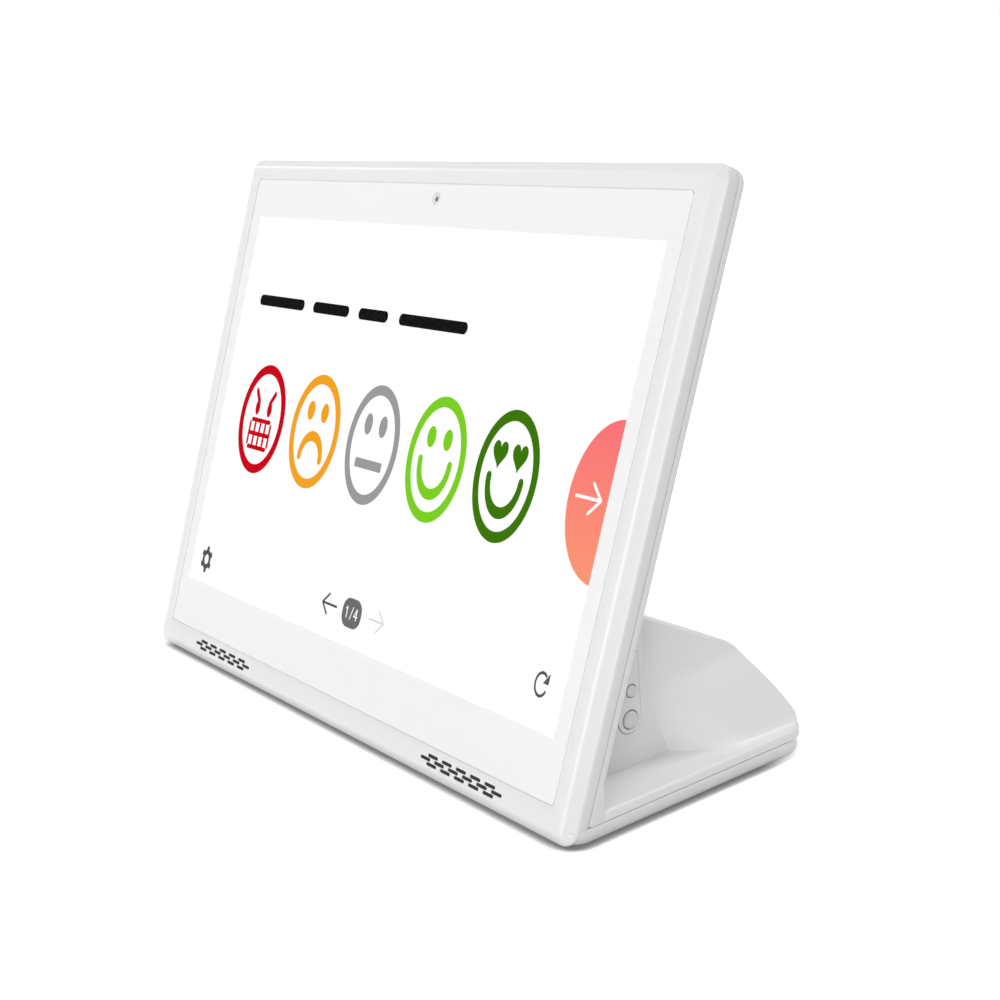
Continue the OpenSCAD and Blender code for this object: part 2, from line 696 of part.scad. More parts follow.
module main_board() color([0.05, 0.3, 0.15]) place() difference() {
  box(pcb_x0, pcb_y0, pcb_z, pcb_x1, pcb_y1, pcb_top);
  for (p = pcb_holes) translate([p[0], p[1], pcb_z - over])
    cylinder(r = board_screw_d / 2 + through_gap, h = pcb_t + 2 * over);
}
module board_chips() color([0.1, 0.1, 0.11]) place() {
  on_board(cpu_x, cpu_y - cpu_w / 2, cpu_w, cpu_w, cpu_t);
  for (k = [-1, 1]) on_board(ram_x, cpu_y + (k * ram_step - ram_deep) / 2, ram_w, ram_deep, ram_t);
  on_board(supply_x, cpu_y - supply_deep / 2, supply_w, supply_deep, supply_t);
  on_board(coil_x, cpu_y, coil_w, coil_w, coil_t);
}
module thermal_pad() color([0.6, 0.65, 0.75]) place()
  box(cpu_x - cpu_w / 2 + pad_in, cpu_y - cpu_w / 2 + pad_in, pcb_top + cpu_t,
    cpu_x + cpu_w / 2 - pad_in, cpu_y + cpu_w / 2 - pad_in, sink_z);
module heat_sink() color([0.75, 0.76, 0.78]) place()
  translate([cpu_x - sink_w / 2, cpu_y - sink_deep / 2, sink_z]) {
    cube([sink_w, sink_deep, sink_t]);
    for (i = [0 : fin_n - 1]) translate([i * (sink_w - fin_t) / (fin_n - 1), 0, sink_t - face_gap])
      cube([fin_t, sink_deep, fin_h + face_gap]);
  }
module board_sockets() color([0.9, 0.88, 0.82]) place() {
  on_board(lcd_plug_x, socket_y, lcd_plug_w, socket_deep, socket_t);
  on_board(0, socket_y, cam_plug_w, socket_deep, socket_t);
  on_board(touch_x, socket_y, touch_plug_w, socket_deep, socket_t);
  on_board(ant_wire_x, socket_y, ant_plug_w, ant_plug_w, ant_plug_t);
  on_board(lead_l_x, pcb_y0 + socket_in / 2, plug_w, plug_deep, plug_t);
  on_board(pcb_x1 - plug_t / 2, lead_r_y - plug_w / 2, plug_t, plug_w, plug_t);
  on_board(pcb_x1 - plug_w / 2 - face_gap, key_plug_y - key_plug_deep / 2, plug_w, key_plug_deep, key_plug_t);
}
module board_screws() color([0.7, 0.7, 0.72]) place() for (p = pcb_holes) translate([p[0], p[1], floor_z]) {
  translate([0, 0, board_up + pcb_t]) cylinder(r = board_screw_d, h = board_head_t);
  translate([0, 0, 2 * board_bite])
    cylinder(d = board_screw_d, h = board_up + pcb_t + face_gap - 2 * board_bite);
}
dc_x = -inner_x + face_gap;
module dc_jack() color([0.07, 0.07, 0.07]) place() difference() {
  box(dc_x, dc_y - dc_w / 2, pcb_top, dc_x + dc_l, dc_y + dc_w / 2, pcb_top + dc_h);
  post_x(dc_y, dc_z, dc_x - over, dc_x + dc_deep, dc_bore / 2);
}
module dc_pin() color([0.8, 0.8, 0.75]) place()
  post_x(dc_y, dc_z, dc_x + dc_pin_in, dc_x + dc_deep, dc_pin_d / 2);
module usb_port() color([0.75, 0.76, 0.78]) place() difference() {
  box(dc_x, usb_y - usb_w / 2, pcb_top, dc_x + usb_l, usb_y + usb_w / 2, pcb_top + usb_h);
  box(dc_x - over, usb_y - usb_w / 2 + usb_wall, pcb_top + usb_wall, dc_x + usb_l - usb_rear,
    usb_y + usb_w / 2 - usb_wall, pcb_top + usb_h - usb_wall);
}
module usb_tongue() color([0.95, 0.95, 0.95]) place()
  box(dc_x + usb_tongue_in, usb_y - usb_tongue_w / 2, usb_z + usb_wall, dc_x + usb_l - usb_rear,
    usb_y + usb_tongue_w / 2, usb_z + usb_wall + usb_tongue_t);

module button_board() color([0.05, 0.3, 0.15]) place() difference() {
  box(bb_x1 - bb_t, bb_y0, bb_z0, bb_x1, bb_y0 + bb_deep, bb_z0 + bb_h);
  for (p = bb_posts) post_x(p[0], p[1], bb_x1 - bb_t - over, bb_x1 + over, small_screw_d / 2 + through_gap);
}
module button_board_screws() color([0.7, 0.7, 0.72]) place() for (p = bb_posts) {
  post_x(p[0], p[1], bb_x1 - bb_t - bb_head_t, bb_x1 - bb_t, small_head_d / 2);
  post_x(p[0], p[1], bb_x1 - bb_t - face_gap, bb_x1 + bb_bite, small_screw_d / 2);
}
module tact_switch(y, z) difference() {
  box(bb_x1, y - switch_w / 2, z - switch_w / 2, switch_x1, y + switch_w / 2, z + switch_w / 2);
  post_x(y, z, switch_x1 - plunger_in - button_travel - through_gap, switch_x1 + over, switch_bore / 2);
}
module power_switch() color([0.12, 0.12, 0.12]) place() tact_switch(power_y, power_z);
module function_switch() color([0.12, 0.12, 0.12]) place() tact_switch(func_y, func_z);
module plunger(y, z)
  post_x(y, z, switch_x1 - plunger_in, switch_x1 + plunger_out + button_travel, plunger_d / 2);
module power_plunger() color([0.85, 0.85, 0.8]) place() plunger(power_y, power_z);
module function_plunger() color([0.85, 0.85, 0.8]) place() plunger(func_y, func_z);
module push_button(y, z, d) {
  back = inner_x - thread_gap;
  post_x(y, z, back - flange_t, hump_x + plate_t + proud, d / 2);
  post_x(y, z, back - flange_t, back, d / 2 + flange_w);
  post_x(y, z, switch_x1 + plunger_out + button_travel, back - flange_t + face_gap, stem_r);
}
module power_button() color([0.8, 0.8, 0.8]) place() push_button(power_y, power_z, power_d);
module function_button() color([0.8, 0.8, 0.8]) place() push_button(func_y, func_z, function_d);
module button_plate() color([0.75, 0.75, 0.75]) place() along_x(hump_x, hump_x + plate_t) difference() {
  p = [power_y, power_z];
  q = p + [tip_back, tip_up];
  a = atan2(tip_up, tip_back);
  b = acos((plate_r - tip_r) / norm(q - p));
  union() {
    circle_at(p, plate_r);
    circle_at(q, tip_r);
    polygon([turn(p, plate_r - seat_gap, a + b), turn(p, plate_r - seat_gap, a - b),
      turn(q, tip_r - seat_gap, a - b), turn(q, tip_r - seat_gap, a + b)]);
  }
  circle_at(p, power_d / 2 + button_gap);
  circle_at([func_y, func_z], function_d / 2 + button_gap);
}
key_wire_x = bb_x1 - bb_t - key_wire_t / 2 - thread_gap;
module button_cable() color([0.3, 0.3, 0.32]) place()
  translate([0, key_plug_y + key_wire_w / 2, 0]) rotate([90, 0, 0]) linear_extrude(key_wire_w)
  polygon(strip([[key_wire_x, bb_z0 + bb_h - small_head_d],
    [key_wire_x, bb_z0 + bb_in + small_head_d], [key_wire_x - 2 * bb_in, pcb_top + key_plug_t],
    [pcb_x1 + key_wire_w, pcb_top + key_plug_t / 2 + through_gap],
    [pcb_x1, pcb_top + key_plug_t / 2]], key_wire_t));
module wifi_antenna() color([0.15, 0.15, 0.15]) place() sheet(rear_d - ant_t, rear_d)
  translate([-half_w + ant_in - ant_w, lcd_v1 + ant_up]) square([ant_w, ant_h]);
ant_d = lcd_back + ant_wire_r + face_gap;
ant_a = concat([ant_wire_x], yz(ant_d, lcd_v1 + ant_h / 2));
ant_b = concat([ant_wire_x], yz(ant_d, lcd_v0 + flex_bend));
ant_c = [ant_wire_x, socket_y + ant_plug_w / 2, pcb_top + ant_plug_t + ant_wire_r];
module antenna_cable() color([0.1, 0.1, 0.1]) place() {
  rod(ant_a, ant_b, ant_wire_r);
  translate(ant_b) sphere(ant_wire_r * 1.15, $fn = 24);
  rod(ant_b, ant_c, ant_wire_r);
}
module lcd_flex() color([0.8, 0.5, 0.15]) place()
  along_x(lcd_plug_x - lcd_flex_w / 2, lcd_plug_x + lcd_flex_w / 2)
  polygon(strip(concat([yz(flex_d, lcd_v0 + 2 * flex_bend), yz(flex_d, lcd_v0 + flex_bend / 2),
    [pcb_y0 - flex_bend, pcb_top + 0.75 * flex_bend]], flex_end), flex_t));
module touch_flex() color([0.8, 0.5, 0.15]) place() along_x(touch_x - touch_w / 2, touch_x + touch_w / 2)
  polygon(strip(concat([yz(glass_d0 + glass_t + flex_t / 2 + seat_gap, touch_slot_v + 0.72 * touch_slot_h),
    yz(glass_d0 + glass_t + flex_t / 2 + seat_gap, touch_slot_v + 0.28 * touch_slot_h),
    yz(ledge_d + ledge_t, touch_slot_v + 0.25 * touch_slot_h), [pcb_y0 - flex_bend, pcb_top + 2 * flex_lift]],
    flex_end), flex_t));
module speaker_leads() color([0.5, 0.1, 0.1]) place() {
  z = pcb_top + lead_up;
  bend = [lead_r_x, lead_r_y, z];
  rod([lead_l_x, box_back, z], [lead_l_x, pcb_y0 + socket_in / 2, z], lead_r);
  rod([lead_r_x, box_back, z], bend, lead_r);
  translate(bend) sphere(lead_r * 1.12, $fn = 24);
  rod(bend, [pcb_x1, lead_r_y, z], lead_r);
}
module rubber_feet() color([0.1, 0.1, 0.1]) place() for (p = foot_at) translate([p[0], p[1], 0])
  cylinder(d = foot_d, h = z_bot + foot_sink);
module case_screws() color([0.6, 0.6, 0.62]) place() for (p = case_bosses)
  translate([p[0], p[1], z_bot + case_sink]) {
    cylinder(r = case_screw_d, h = case_head_t);
    translate([0, 0, case_head_t - face_gap]) cylinder(d = case_screw_d,
      h = pad_z + case_bite - z_bot - case_sink - case_head_t + face_gap);
  }

front_shell();
rear_cover();
touch_glass();
glass_tape();
lcd_panel();
lcd_backlight();
lcd_brackets();
lcd_bracket_screws();
camera_module();
camera_lens();
camera_flex();
speaker_box_left();
speaker_box_right();
speaker_cones();
speaker_gaskets();
speaker_meshes();
main_board();
board_chips();
thermal_pad();
heat_sink();
board_sockets();
board_screws();
dc_jack();
dc_pin();
usb_port();
usb_tongue();
button_board();
button_board_screws();
power_switch();
function_switch();
power_plunger();
function_plunger();
power_button();
function_button();
button_plate();
button_cable();
wifi_antenna();
antenna_cable();
lcd_flex();
touch_flex();
speaker_leads();
rubber_feet();
case_screws();
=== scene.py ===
"""Looks of a counter-top feedback terminal, dressed over its packed construction frame.

Every piece is worked in millimetres of the row frame and handed over in metres. The leaning panel has its
own axes: x across, v up along its face, d into its depth.
"""

import logging
import math
from collections.abc import Callable, Iterable
from dataclasses import dataclass, field
from enum import Enum

import bmesh
import bpy
from mathutils import Matrix, Vector


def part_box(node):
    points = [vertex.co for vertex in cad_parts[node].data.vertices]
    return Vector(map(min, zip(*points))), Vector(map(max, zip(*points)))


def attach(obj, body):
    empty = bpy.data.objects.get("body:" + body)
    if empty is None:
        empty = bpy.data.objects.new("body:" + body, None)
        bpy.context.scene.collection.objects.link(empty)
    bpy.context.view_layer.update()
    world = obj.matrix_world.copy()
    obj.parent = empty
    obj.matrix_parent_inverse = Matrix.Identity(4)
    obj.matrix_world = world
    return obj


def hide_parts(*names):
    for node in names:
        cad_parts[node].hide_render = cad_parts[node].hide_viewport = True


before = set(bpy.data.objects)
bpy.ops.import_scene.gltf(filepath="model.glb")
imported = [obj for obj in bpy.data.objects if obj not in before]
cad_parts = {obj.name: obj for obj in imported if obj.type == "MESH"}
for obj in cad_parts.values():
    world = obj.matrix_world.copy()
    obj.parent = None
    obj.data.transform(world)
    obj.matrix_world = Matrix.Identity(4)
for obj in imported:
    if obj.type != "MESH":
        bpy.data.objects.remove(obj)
LOG = logging.getLogger("terminal")
MM = 0.001
TILT = math.radians(21.2)
BASE_DEPTH = 95.0
QUARTER = math.pi / 2.0
SIDES = (-1.0, 1.0)
# The least corner radius of a loop that lies inside an outline.
LEAST_R = 0.6
# The angle in degrees past which an edge is drawn sharp.
SHARP = 35.0
# Inset and drop of each step of the small rounding beside a parting line.
SEAM_STEPS = ((0.2, 0.0), (0.06, 0.05), (0.0, 0.2))
Colour = tuple[float, float, float]
Spot = tuple[float, float]


def linear(red: float, green: float, blue: float) -> Colour:
    """Turns a colour as it looks on a screen, 0 to 255, into the light it stands for.

    Args:
        red: red on the screen.
        green: green on the screen.
        blue: blue on the screen.

    Returns:
        The three channels as linear light, 0 to 1.
    """

    def channel(level: float) -> float:
        """One channel's light."""
        part = level / 255.0
        return part / 12.92 if part <= 0.04045 else ((part + 0.055) / 1.055) ** 2.4

    return channel(red), channel(green), channel(blue)


def ease(share: float) -> float:
    """A smooth step from 0 to 1 that starts and ends level."""
    part = min(1.0, max(0.0, share))
    return part * part * (3.0 - 2.0 * part)


def soft_max(first: float, second: float, width: float) -> float:
    """The larger of two values, rounded over where they meet within width."""
    near = max(width - abs(first - second), 0.0) / width
    return max(first, second) + near * near * width * 0.25


def rounded(corner: Vector, start: Vector, end: Vector, reach: float, steps: int = 5) -> list[Vector]:
    """Eases a section round one of its corners.

    Args:
        corner: the sharp corner.
        start: a point on the line that comes in.
        end: a point on the line that goes out.
        reach: how far from the corner the easing starts and ends.
        steps: segments round the corner.

    Returns:
        The points from the first line to the second.
    """
    first = corner + (start - corner).normalized() * reach
    last = corner + (end - corner).normalized() * reach
    points: list[Vector] = []
    for step in range(steps + 1):
        t = step / steps
        points.append(first * (1.0 - t) ** 2 + corner * 2.0 * t * (1.0 - t) + last * t * t)
    return points


class Grain(Enum):
    """How a surface is worked, which picks its pattern."""

    MOULDED = "moulded"
    POLISHED = "polished"
    BRUSHED = "brushed"
    WOVEN = "woven"
    BOARD = "board"
    LIT = "lit"
    FADED = "faded"


@dataclass(frozen=True)
class Finish:
    """One surface finish.

    Attributes:
        name: the material's name.
        colour: main colour, as on a screen.
        deep: second tone that it drifts to.
        rough: roughness.
        spread: how far roughness wanders.
        metal: metallic share.
        coat: clear coat.
        grain: how the surface is worked.
        pitch: size of the grain in millimetres.
        bump: height of the grain in millimetres.
        alpha: opacity.
        glow: light given off, 1 being screen white.
    """

    name: str
    colour: Colour
    deep: Colour
    rough: float
    spread: float = 0.06
    metal: float = 0.0
    coat: float = 0.0
    grain: Grain = Grain.MOULDED
    pitch: float = 0.6
    bump: float = 0.01
    alpha: float = 1.0
    glow: float = 0.0

    @property
    def scale(self) -> float:
        """Grains in a metre."""
        return 1.0 / (self.pitch * MM)


class Value:
    """A shader socket that takes part in Python sums; each sum adds a Math node."""

    def __init__(self, tree: "Tree", socket: bpy.types.NodeSocket) -> None:
        """Keeps the socket and the tree that it is in."""
        self.tree = tree
        self.socket = socket

    def _math(self, kind: str, first: "Value | float", second: "Value | float") -> "Value":
        """Adds one Math node over two operands."""
        return self.tree.node("ShaderNodeMath", {0: first, 1: second}, operation=kind)

    def __add__(self, other: "Value | float") -> "Value":
        """This plus other."""
        return self._math("ADD", self, other)

    def __radd__(self, other: float) -> "Value":
        """Other plus this."""
        return self._math("ADD", other, self)

    def __sub__(self, other: "Value | float") -> "Value":
        """This less other."""
        return self._math("SUBTRACT", self, other)

    def __rsub__(self, other: float) -> "Value":
        """Other less this."""
        return self._math("SUBTRACT", other, self)

    def __mul__(self, other: "Value | float") -> "Value":
        """This times other."""
        return self._math("MULTIPLY", self, other)

    def __rmul__(self, other: float) -> "Value":
        """Other times this."""
        return self._math("MULTIPLY", other, self)

    def wave(self) -> "Value":
        """The sine of this."""
        return self._math("SINE", self, 0.0)

    def over(self, limit: float) -> "Value":
        """1 where this is above limit, 0 elsewhere."""
        return self._math("GREATER_THAN", self, limit)


class Tree:
    """The node tree of one material, or of the surround."""

    def __init__(self, owner: bpy.types.Material | bpy.types.World) -> None:
        """Clears the owner's nodes and keeps its tree.

        Args:
            owner: the material or the surround.
        """
        owner.use_nodes = True
        self.nodes = owner.node_tree.nodes
        self.links = owner.node_tree.links
        self.nodes.clear()

    def node(self, kind: str, sockets: dict | None = None, out: int | str = 0, **settings: object) -> Value:
        """Adds any node.

        Args:
            kind: the node's type.
            sockets: a value or a link for each named or numbered input.
            out: the output to hand back.
            **settings: the node's own settings, set first.

        Returns:
            The chosen output.
        """
        made = self.nodes.new(kind)
        for key, value in settings.items():
            setattr(made, key, value)
        for key, value in (sockets or {}).items():
            if isinstance(value, Value):
                self.links.new(value.socket, made.inputs[key])
            else:
                made.inputs[key].default_value = value
        return Value(self, made.outputs[out])

    def seen(self) -> Value:
        """Tells what the camera sees from what only gives light.

        Returns:
            1 where the camera looks straight, by reflection or through glass, 0 elsewhere.
        """
        sight = self.node("ShaderNodeLightPath", out="Is Camera Ray")
        gloss = self.node("ShaderNodeLightPath", out="Is Glossy Ray")
        glass = self.node("ShaderNodeLightPath", out="Is Transmission Ray")
        return (sight + gloss + glass).over(0.5)

    def close(self, shader: Value, kind: str = "ShaderNodeOutputMaterial") -> None:
        """Sends the finished shader to the output."""
        self.links.new(shader.socket, self.nodes.new(kind).inputs["Surface"])


class PaintShop:
    """Mixes each finish once and hands out its material.

    Attributes:
        BROAD: patches of tone in a metre.
        COAT_ROUGH: roughness of a clear coat.
        RELIEF: strength of a grain's relief.
        FADE_LOW: height in metres where a fade starts.
        FADE_RATE: how fast it goes on, in a metre.
    """

    BROAD = 22.0
    COAT_ROUGH = 0.08
    RELIEF = 0.6
    FADE_LOW = 0.06
    FADE_RATE = 20.0

    def __init__(self) -> None:
        """Starts with no paint mixed."""
        self.mixed: dict[str, bpy.types.Material] = {}

    def material(self, finish: Finish) -> bpy.types.Material:
        """The material of a finish, mixed on first use.

        Args:
            finish: what it should look like.

        Returns:
            The material.
        """
        if finish.name not in self.mixed:
            self.mixed[finish.name] = self._mix(finish)
        return self.mixed[finish.name]

    def _height(self, tree: Tree, finish: Finish, place: Value, fine: Value) -> Value:
        """The relief of a finish's grain.

        Args:
            tree: the material's tree.
            finish: the finish.
            place: object coordinates.
            fine: fine noise at the grain's pitch.

        Returns:
            Height, about 0 to 1.
        """
        if finish.grain is Grain.WOVEN:
            turn = 2.0 * math.pi / (finish.pitch * MM)
            across = tree.node("ShaderNodeSeparateXYZ", {0: place}, out="X") * turn
            along = tree.node("ShaderNodeSeparateXYZ", {0: place}, out="Z") * turn
            return across.wave() * along.wave() * 0.5 + 0.5
        if finish.grain is Grain.BRUSHED:
            drawn = tree.node("ShaderNodeMapping", {"Vector": place, "Scale": (1.0, 0.04, 1.0)})
            return tree.node("ShaderNodeTexNoise", {"Vector": drawn, "Scale": finish.scale})
        if finish.grain is Grain.BOARD:
            cells = tree.node(
                "ShaderNodeTexBrick",
                {"Vector": place, "Scale": finish.scale, "Mortar Size": 0.05},
                out="Fac",
            )
            return cells * 0.6 + fine * 0.4
        return fine

    def _mix(self, finish: Finish) -> bpy.types.Material:
        """Builds a finish's material.

        Args:
            finish: what it should look like.

        Returns:
            The new material.
        """
        made = bpy.data.materials.new(finish.name)
        tree = Tree(made)
        place = tree.node("ShaderNodeTexCoord", out="Object")
        fine = tree.node("ShaderNodeTexNoise", {"Vector": place, "Scale": finish.scale, "Detail": 3.0})
        broad = tree.node("ShaderNodeTexNoise", {"Vector": place, "Scale": self.BROAD, "Detail": 2.0})
        height = self._height(tree, finish, place, fine)
        tone = broad
        if finish.grain in (Grain.WOVEN, Grain.BOARD):
            tone = height
        if finish.grain is Grain.FADED:
            span = tree.node("ShaderNodeSeparateXYZ", {0: place}, out="Z")
            tone = (span - self.FADE_LOW) * self.FADE_RATE + broad * 0.1
        colour = tree.node(
            "ShaderNodeMix",
            {0: tone, 6: (*linear(*finish.colour), 1.0), 7: (*linear(*finish.deep), 1.0)},
            out=2,
            data_type="RGBA",
        )
        sockets: dict = {
            "Roughness": finish.rough + (fine - 0.5) * finish.spread,
            "Metallic": finish.metal,
            "Coat Weight": finish.coat,
            "Coat Roughness": self.COAT_ROUGH,
            "Alpha": finish.alpha,
        }
        if finish.glow > 0.0:
            sockets["Base Color"] = (0.0, 0.0, 0.0, 1.0)
            sockets["Emission Color"] = colour
            sockets["Emission Strength"] = finish.glow
            sockets["Specular IOR Level"] = 0.0
        else:
            sockets["Base Color"] = colour
        if finish.bump > 0.0:
            sockets["Normal"] = tree.node(
                "ShaderNodeBump",
                {"Height": height, "Strength": self.RELIEF, "Distance": finish.bump * MM},
            )
        tree.close(tree.node("ShaderNodeBsdfPrincipled", sockets))
        return made


def moulded(part: str, level: float, rough: float) -> Finish:
    """A smooth white moulding.

    Args:
        part: which moulding it is for.
        level: its white, as on a screen; the parts get different levels as painted light and shade.
        rough: its roughness.

    Returns:
        The finish.
    """
    deep = level - 2.0
    return Finish(f"white_painted_light_and_shade_{part}", (level,) * 3, (deep,) * 3, rough, 0.02, bump=0.0)


def metal(name: str, colour: Colour, deep: Colour, rough: float, spread: float, pitch: float = 0.6) -> Finish:
    """A brushed metal.

    Args:
        name: the material's name.
        colour: main colour, as on a screen.
        deep: second tone.
        rough: roughness.
        spread: how far roughness wanders.
        pitch: size of the grain in millimetres.

    Returns:
        The finish.
    """
    return Finish(name, colour, deep, rough, spread, 1.0, grain=Grain.BRUSHED, pitch=pitch)


def lit(
    name: str, colour: Colour, deep: Colour | None = None, grain: Grain = Grain.LIT, glow: float = 1.0
) -> Finish:
    """A finish for a part of the lit picture.

    Args:
        name: the material's name.
        colour: the colour on the screen.
        deep: the colour that it drifts to, the same if left out.
        grain: even light, or a fade up the picture.
        glow: the light given off.

    Returns:
        The finish.
    """
    return Finish(name, colour, deep or colour, 0.3, 0.02, grain=grain, pitch=0.25, bump=0.0, glow=glow)


# One white plastic at three levels: the bezel's darker copy is painted shade, the rear cover's lighter copy
# is painted light, and the base's level lies between.
WHITE_BEZEL_PAINTED_SHADE = moulded("front", 230.0, 0.27)
WHITE_SHELL = moulded("base", 234.0, 0.32)
WHITE_COVER_PAINTED_LIGHT = moulded("rear", 236.0, 0.32)
# Painted shade: the dark grey of the thin ring round the key plate, standing in for the shadow line at its
# edge.
PLATE_PAINTED_SHADE = Finish("painted_shade_grey", (150, 150, 151), (140, 140, 141), 0.6, 0.08, pitch=0.3, bump=0.002)
PRINT_WHITE = Finish("printed_white", (247, 247, 247), (245, 245, 245), 0.3, 0.03, pitch=2.0, bump=0.0)
CLEAR_GLASS = Finish(
    "clear_glass",
    (20, 22, 22),
    (12, 14, 14),
    0.05,
    0.01,
    grain=Grain.POLISHED,
    pitch=8.0,
    bump=0.0,
    alpha=0.02,
)
BUTTON_WHITE = Finish("button_white", (226, 226, 226), (221, 221, 221), 0.36, 0.06, pitch=0.4, bump=0.006)
RING_GREY = Finish("camera_ring_grey", (226, 227, 228), (218, 219, 220), 0.35, 0.08, pitch=0.2, bump=0.004)
SIGN_WHITE = lit("sign_white", (255, 255, 255))

CAD_FINISHES: dict[str, Finish] = {
    "shell_white": WHITE_SHELL,
    "cover_glass": CLEAR_GLASS,
    "black_tape": Finish("tape_black", (24, 24, 25), (34, 34, 35), 0.7, 0.1, pitch=0.4),
    "display": Finish(
        "display_layers", (30, 32, 36), (44, 46, 50), 0.2, 0.04, coat=0.4, grain=Grain.POLISHED
    ),
    "tray_metal": metal("tray_metal", (176, 178, 180), (160, 163, 166), 0.35, 0.1),
    "steel": metal("screw_steel", (150, 152, 155), (120, 122, 126), 0.3, 0.1, 0.2),
    "black_plastic": Finish("plastic_black", (28, 28, 30), (38, 38, 40), 0.45, 0.1, pitch=0.3),
    "lens_glass": Finish(
        "lens_glass", (12, 13, 18), (22, 20, 34), 0.04, 0.02, coat=1.0, grain=Grain.POLISHED
    ),
    "flex_amber": Finish(
        "flex_amber", (176, 112, 40), (150, 88, 28), 0.35, 0.08, coat=0.3, grain=Grain.BRUSHED
    ),
    "cone_grey": Finish("cone_grey", (60, 60, 62), (44, 44, 46), 0.8, 0.1, pitch=0.4, bump=0.03),
    "foam_black": Finish("foam_black", (22, 22, 23), (36, 36, 37), 0.95, 0.05, pitch=0.5, bump=0.08),
    "mesh_black": Finish(
        "mesh_black", (10, 10, 11), (40, 40, 42), 0.8, 0.1, grain=Grain.WOVEN, pitch=0.3, bump=0.05
    ),
    "board_green": Finish(
        "board_green", (18, 72, 44), (34, 104, 66), 0.4, 0.1, coat=0.3, grain=Grain.BOARD, pitch=9.0
    ),
    "chip_black": Finish("chip_black", (26, 26, 28), (40, 40, 42), 0.6, 0.1, pitch=0.2),
    "pad_grey": Finish("pad_grey", (150, 154, 160), (132, 136, 142), 0.9, 0.06, pitch=0.5, bump=0.04),
    "sink_alloy": metal("sink_alloy", (188, 190, 193), (168, 171, 175), 0.4, 0.12),
    "socket_ivory": Finish("socket_ivory", (226, 220, 200), (214, 206, 184), 0.5, 0.08, pitch=0.3),
    "nickel": metal("nickel", (196, 194, 188), (170, 168, 162), 0.22, 0.08, 0.3),
    "button_grey": BUTTON_WHITE,
    "plate_grey": BUTTON_WHITE,
    "cable_black": Finish("cable_black", (26, 26, 27), (40, 40, 41), 0.55, 0.1, grain=Grain.WOVEN),
    "foot_rubber": Finish("foot_rubber", (40, 40, 41), (56, 56, 57), 0.9, 0.06, pitch=0.35, bump=0.03),
}


@dataclass(frozen=True)
class Lean:
    """The leaning panel's axes in the row frame.

    Attributes:
        tilt: how far the panel leans back, in radians.
        shift: how far the row frame's origin lies behind the front edge, in millimetres.
    """

    tilt: float
    shift: float

    def at(self, x: float, v: float, d: float) -> Vector:
        """A point given across, up and into the panel, in millimetres of the row frame."""
        sine, cosine = math.sin(self.tilt), math.cos(self.tilt)
        return Vector((x, d * cosine + v * sine - self.shift, v * cosine - d * sine))

    def low(self, z: float, d: float) -> float:
        """How far up the panel the level z lies at depth d."""
        return (z + d * math.sin(self.tilt)) / math.cos(self.tilt)

    def behind(self, d: float, z: float) -> float:
        """The y, measured from the front edge, of depth d at level z."""
        return (d + z * math.sin(self.tilt)) / math.cos(self.tilt)

    def matrix(self, d: float) -> Matrix:
        """Lays a flat drawing, x across and y up, on the panel, facing the user.

        Args:
            d: its depth.

        Returns:
            The placing.
        """
        sine, cosine = math.sin(self.tilt), math.cos(self.tilt)
        turn = Matrix(((1.0, 0.0, 0.0), (0.0, sine, -cosine), (0.0, cosine, sine))).to_4x4()
        return Matrix.Translation(self.at(0.0, 0.0, d)) @ turn


@dataclass(frozen=True)
class Loop:
    """One rounded rectangle of a moulding's section, on the panel's axes.

    Attributes:
        half: half its width.
        low: its lower edge, up the panel.
        high: its upper edge.
        top_r: radius of the upper corners.
        low_r: radius of the lower corners.
        depth: depth along the sides and top.
        low_depth: depth along the lower edge.
    """

    half: float
    low: float
    high: float
    top_r: float
    low_r: float
    depth: float
    low_depth: float

    def corner(self, index: int, angle: float) -> Vector:
        """A point on one corner's arc.

        Args:
            index: corner, from lower right round to lower left.
            angle: direction from the arc's centre.

        Returns:
            Across, up, and into the panel.
        """
        lower = index in (0, 3)
        side = 1.0 if index < 2 else -1.0
        radius = self.low_r if lower else self.top_r
        centre = self.low + radius if lower else self.high - radius
        share = ease(1.0 - abs(math.cos(angle))) if lower else 0.0
        depth = self.depth + (self.low_depth - self.depth) * share
        across = side * (self.half - radius) + radius * math.cos(angle)
        return Vector((across, centre + radius * math.sin(angle), depth))


class Rounder:
    """Walks round rounded rectangles in equal numbers of steps.

    Attributes:
        ARC: steps in a corner.
        EDGES: steps along each edge, from the right one round.
    """

    ARC = 8
    EDGES = (10, 16, 10, 16)

    def __init__(self) -> None:
        """Works out the stations, each a mix of points on corner arcs."""
        self.stations: list[list[tuple[int, float, float]]] = []
        for corner in range(4):
            start = (corner - 1) * QUARTER
            for step in range(self.ARC + 1):
                self.stations.append([(corner, start + step * QUARTER / self.ARC, 1.0)])
            count = self.EDGES[corner]
            end = start + QUARTER
            for step in range(1, count):
                share = step / count
                self.stations.append([(corner, end, 1.0 - share), ((corner + 1) % 4, end, share)])

    def point(self, loop: Loop, station: int) -> Vector:
        """Where a station lies on a loop.

        Args:
            loop: the loop.
            station: which station; the count goes round.

        Returns:
            Across, up, and into the panel.
        """
        total = Vector((0.0, 0.0, 0.0))
        for corner, angle, weight in self.stations[station % len(self.stations)]:
            total += loop.corner(corner, angle) * weight
        return total


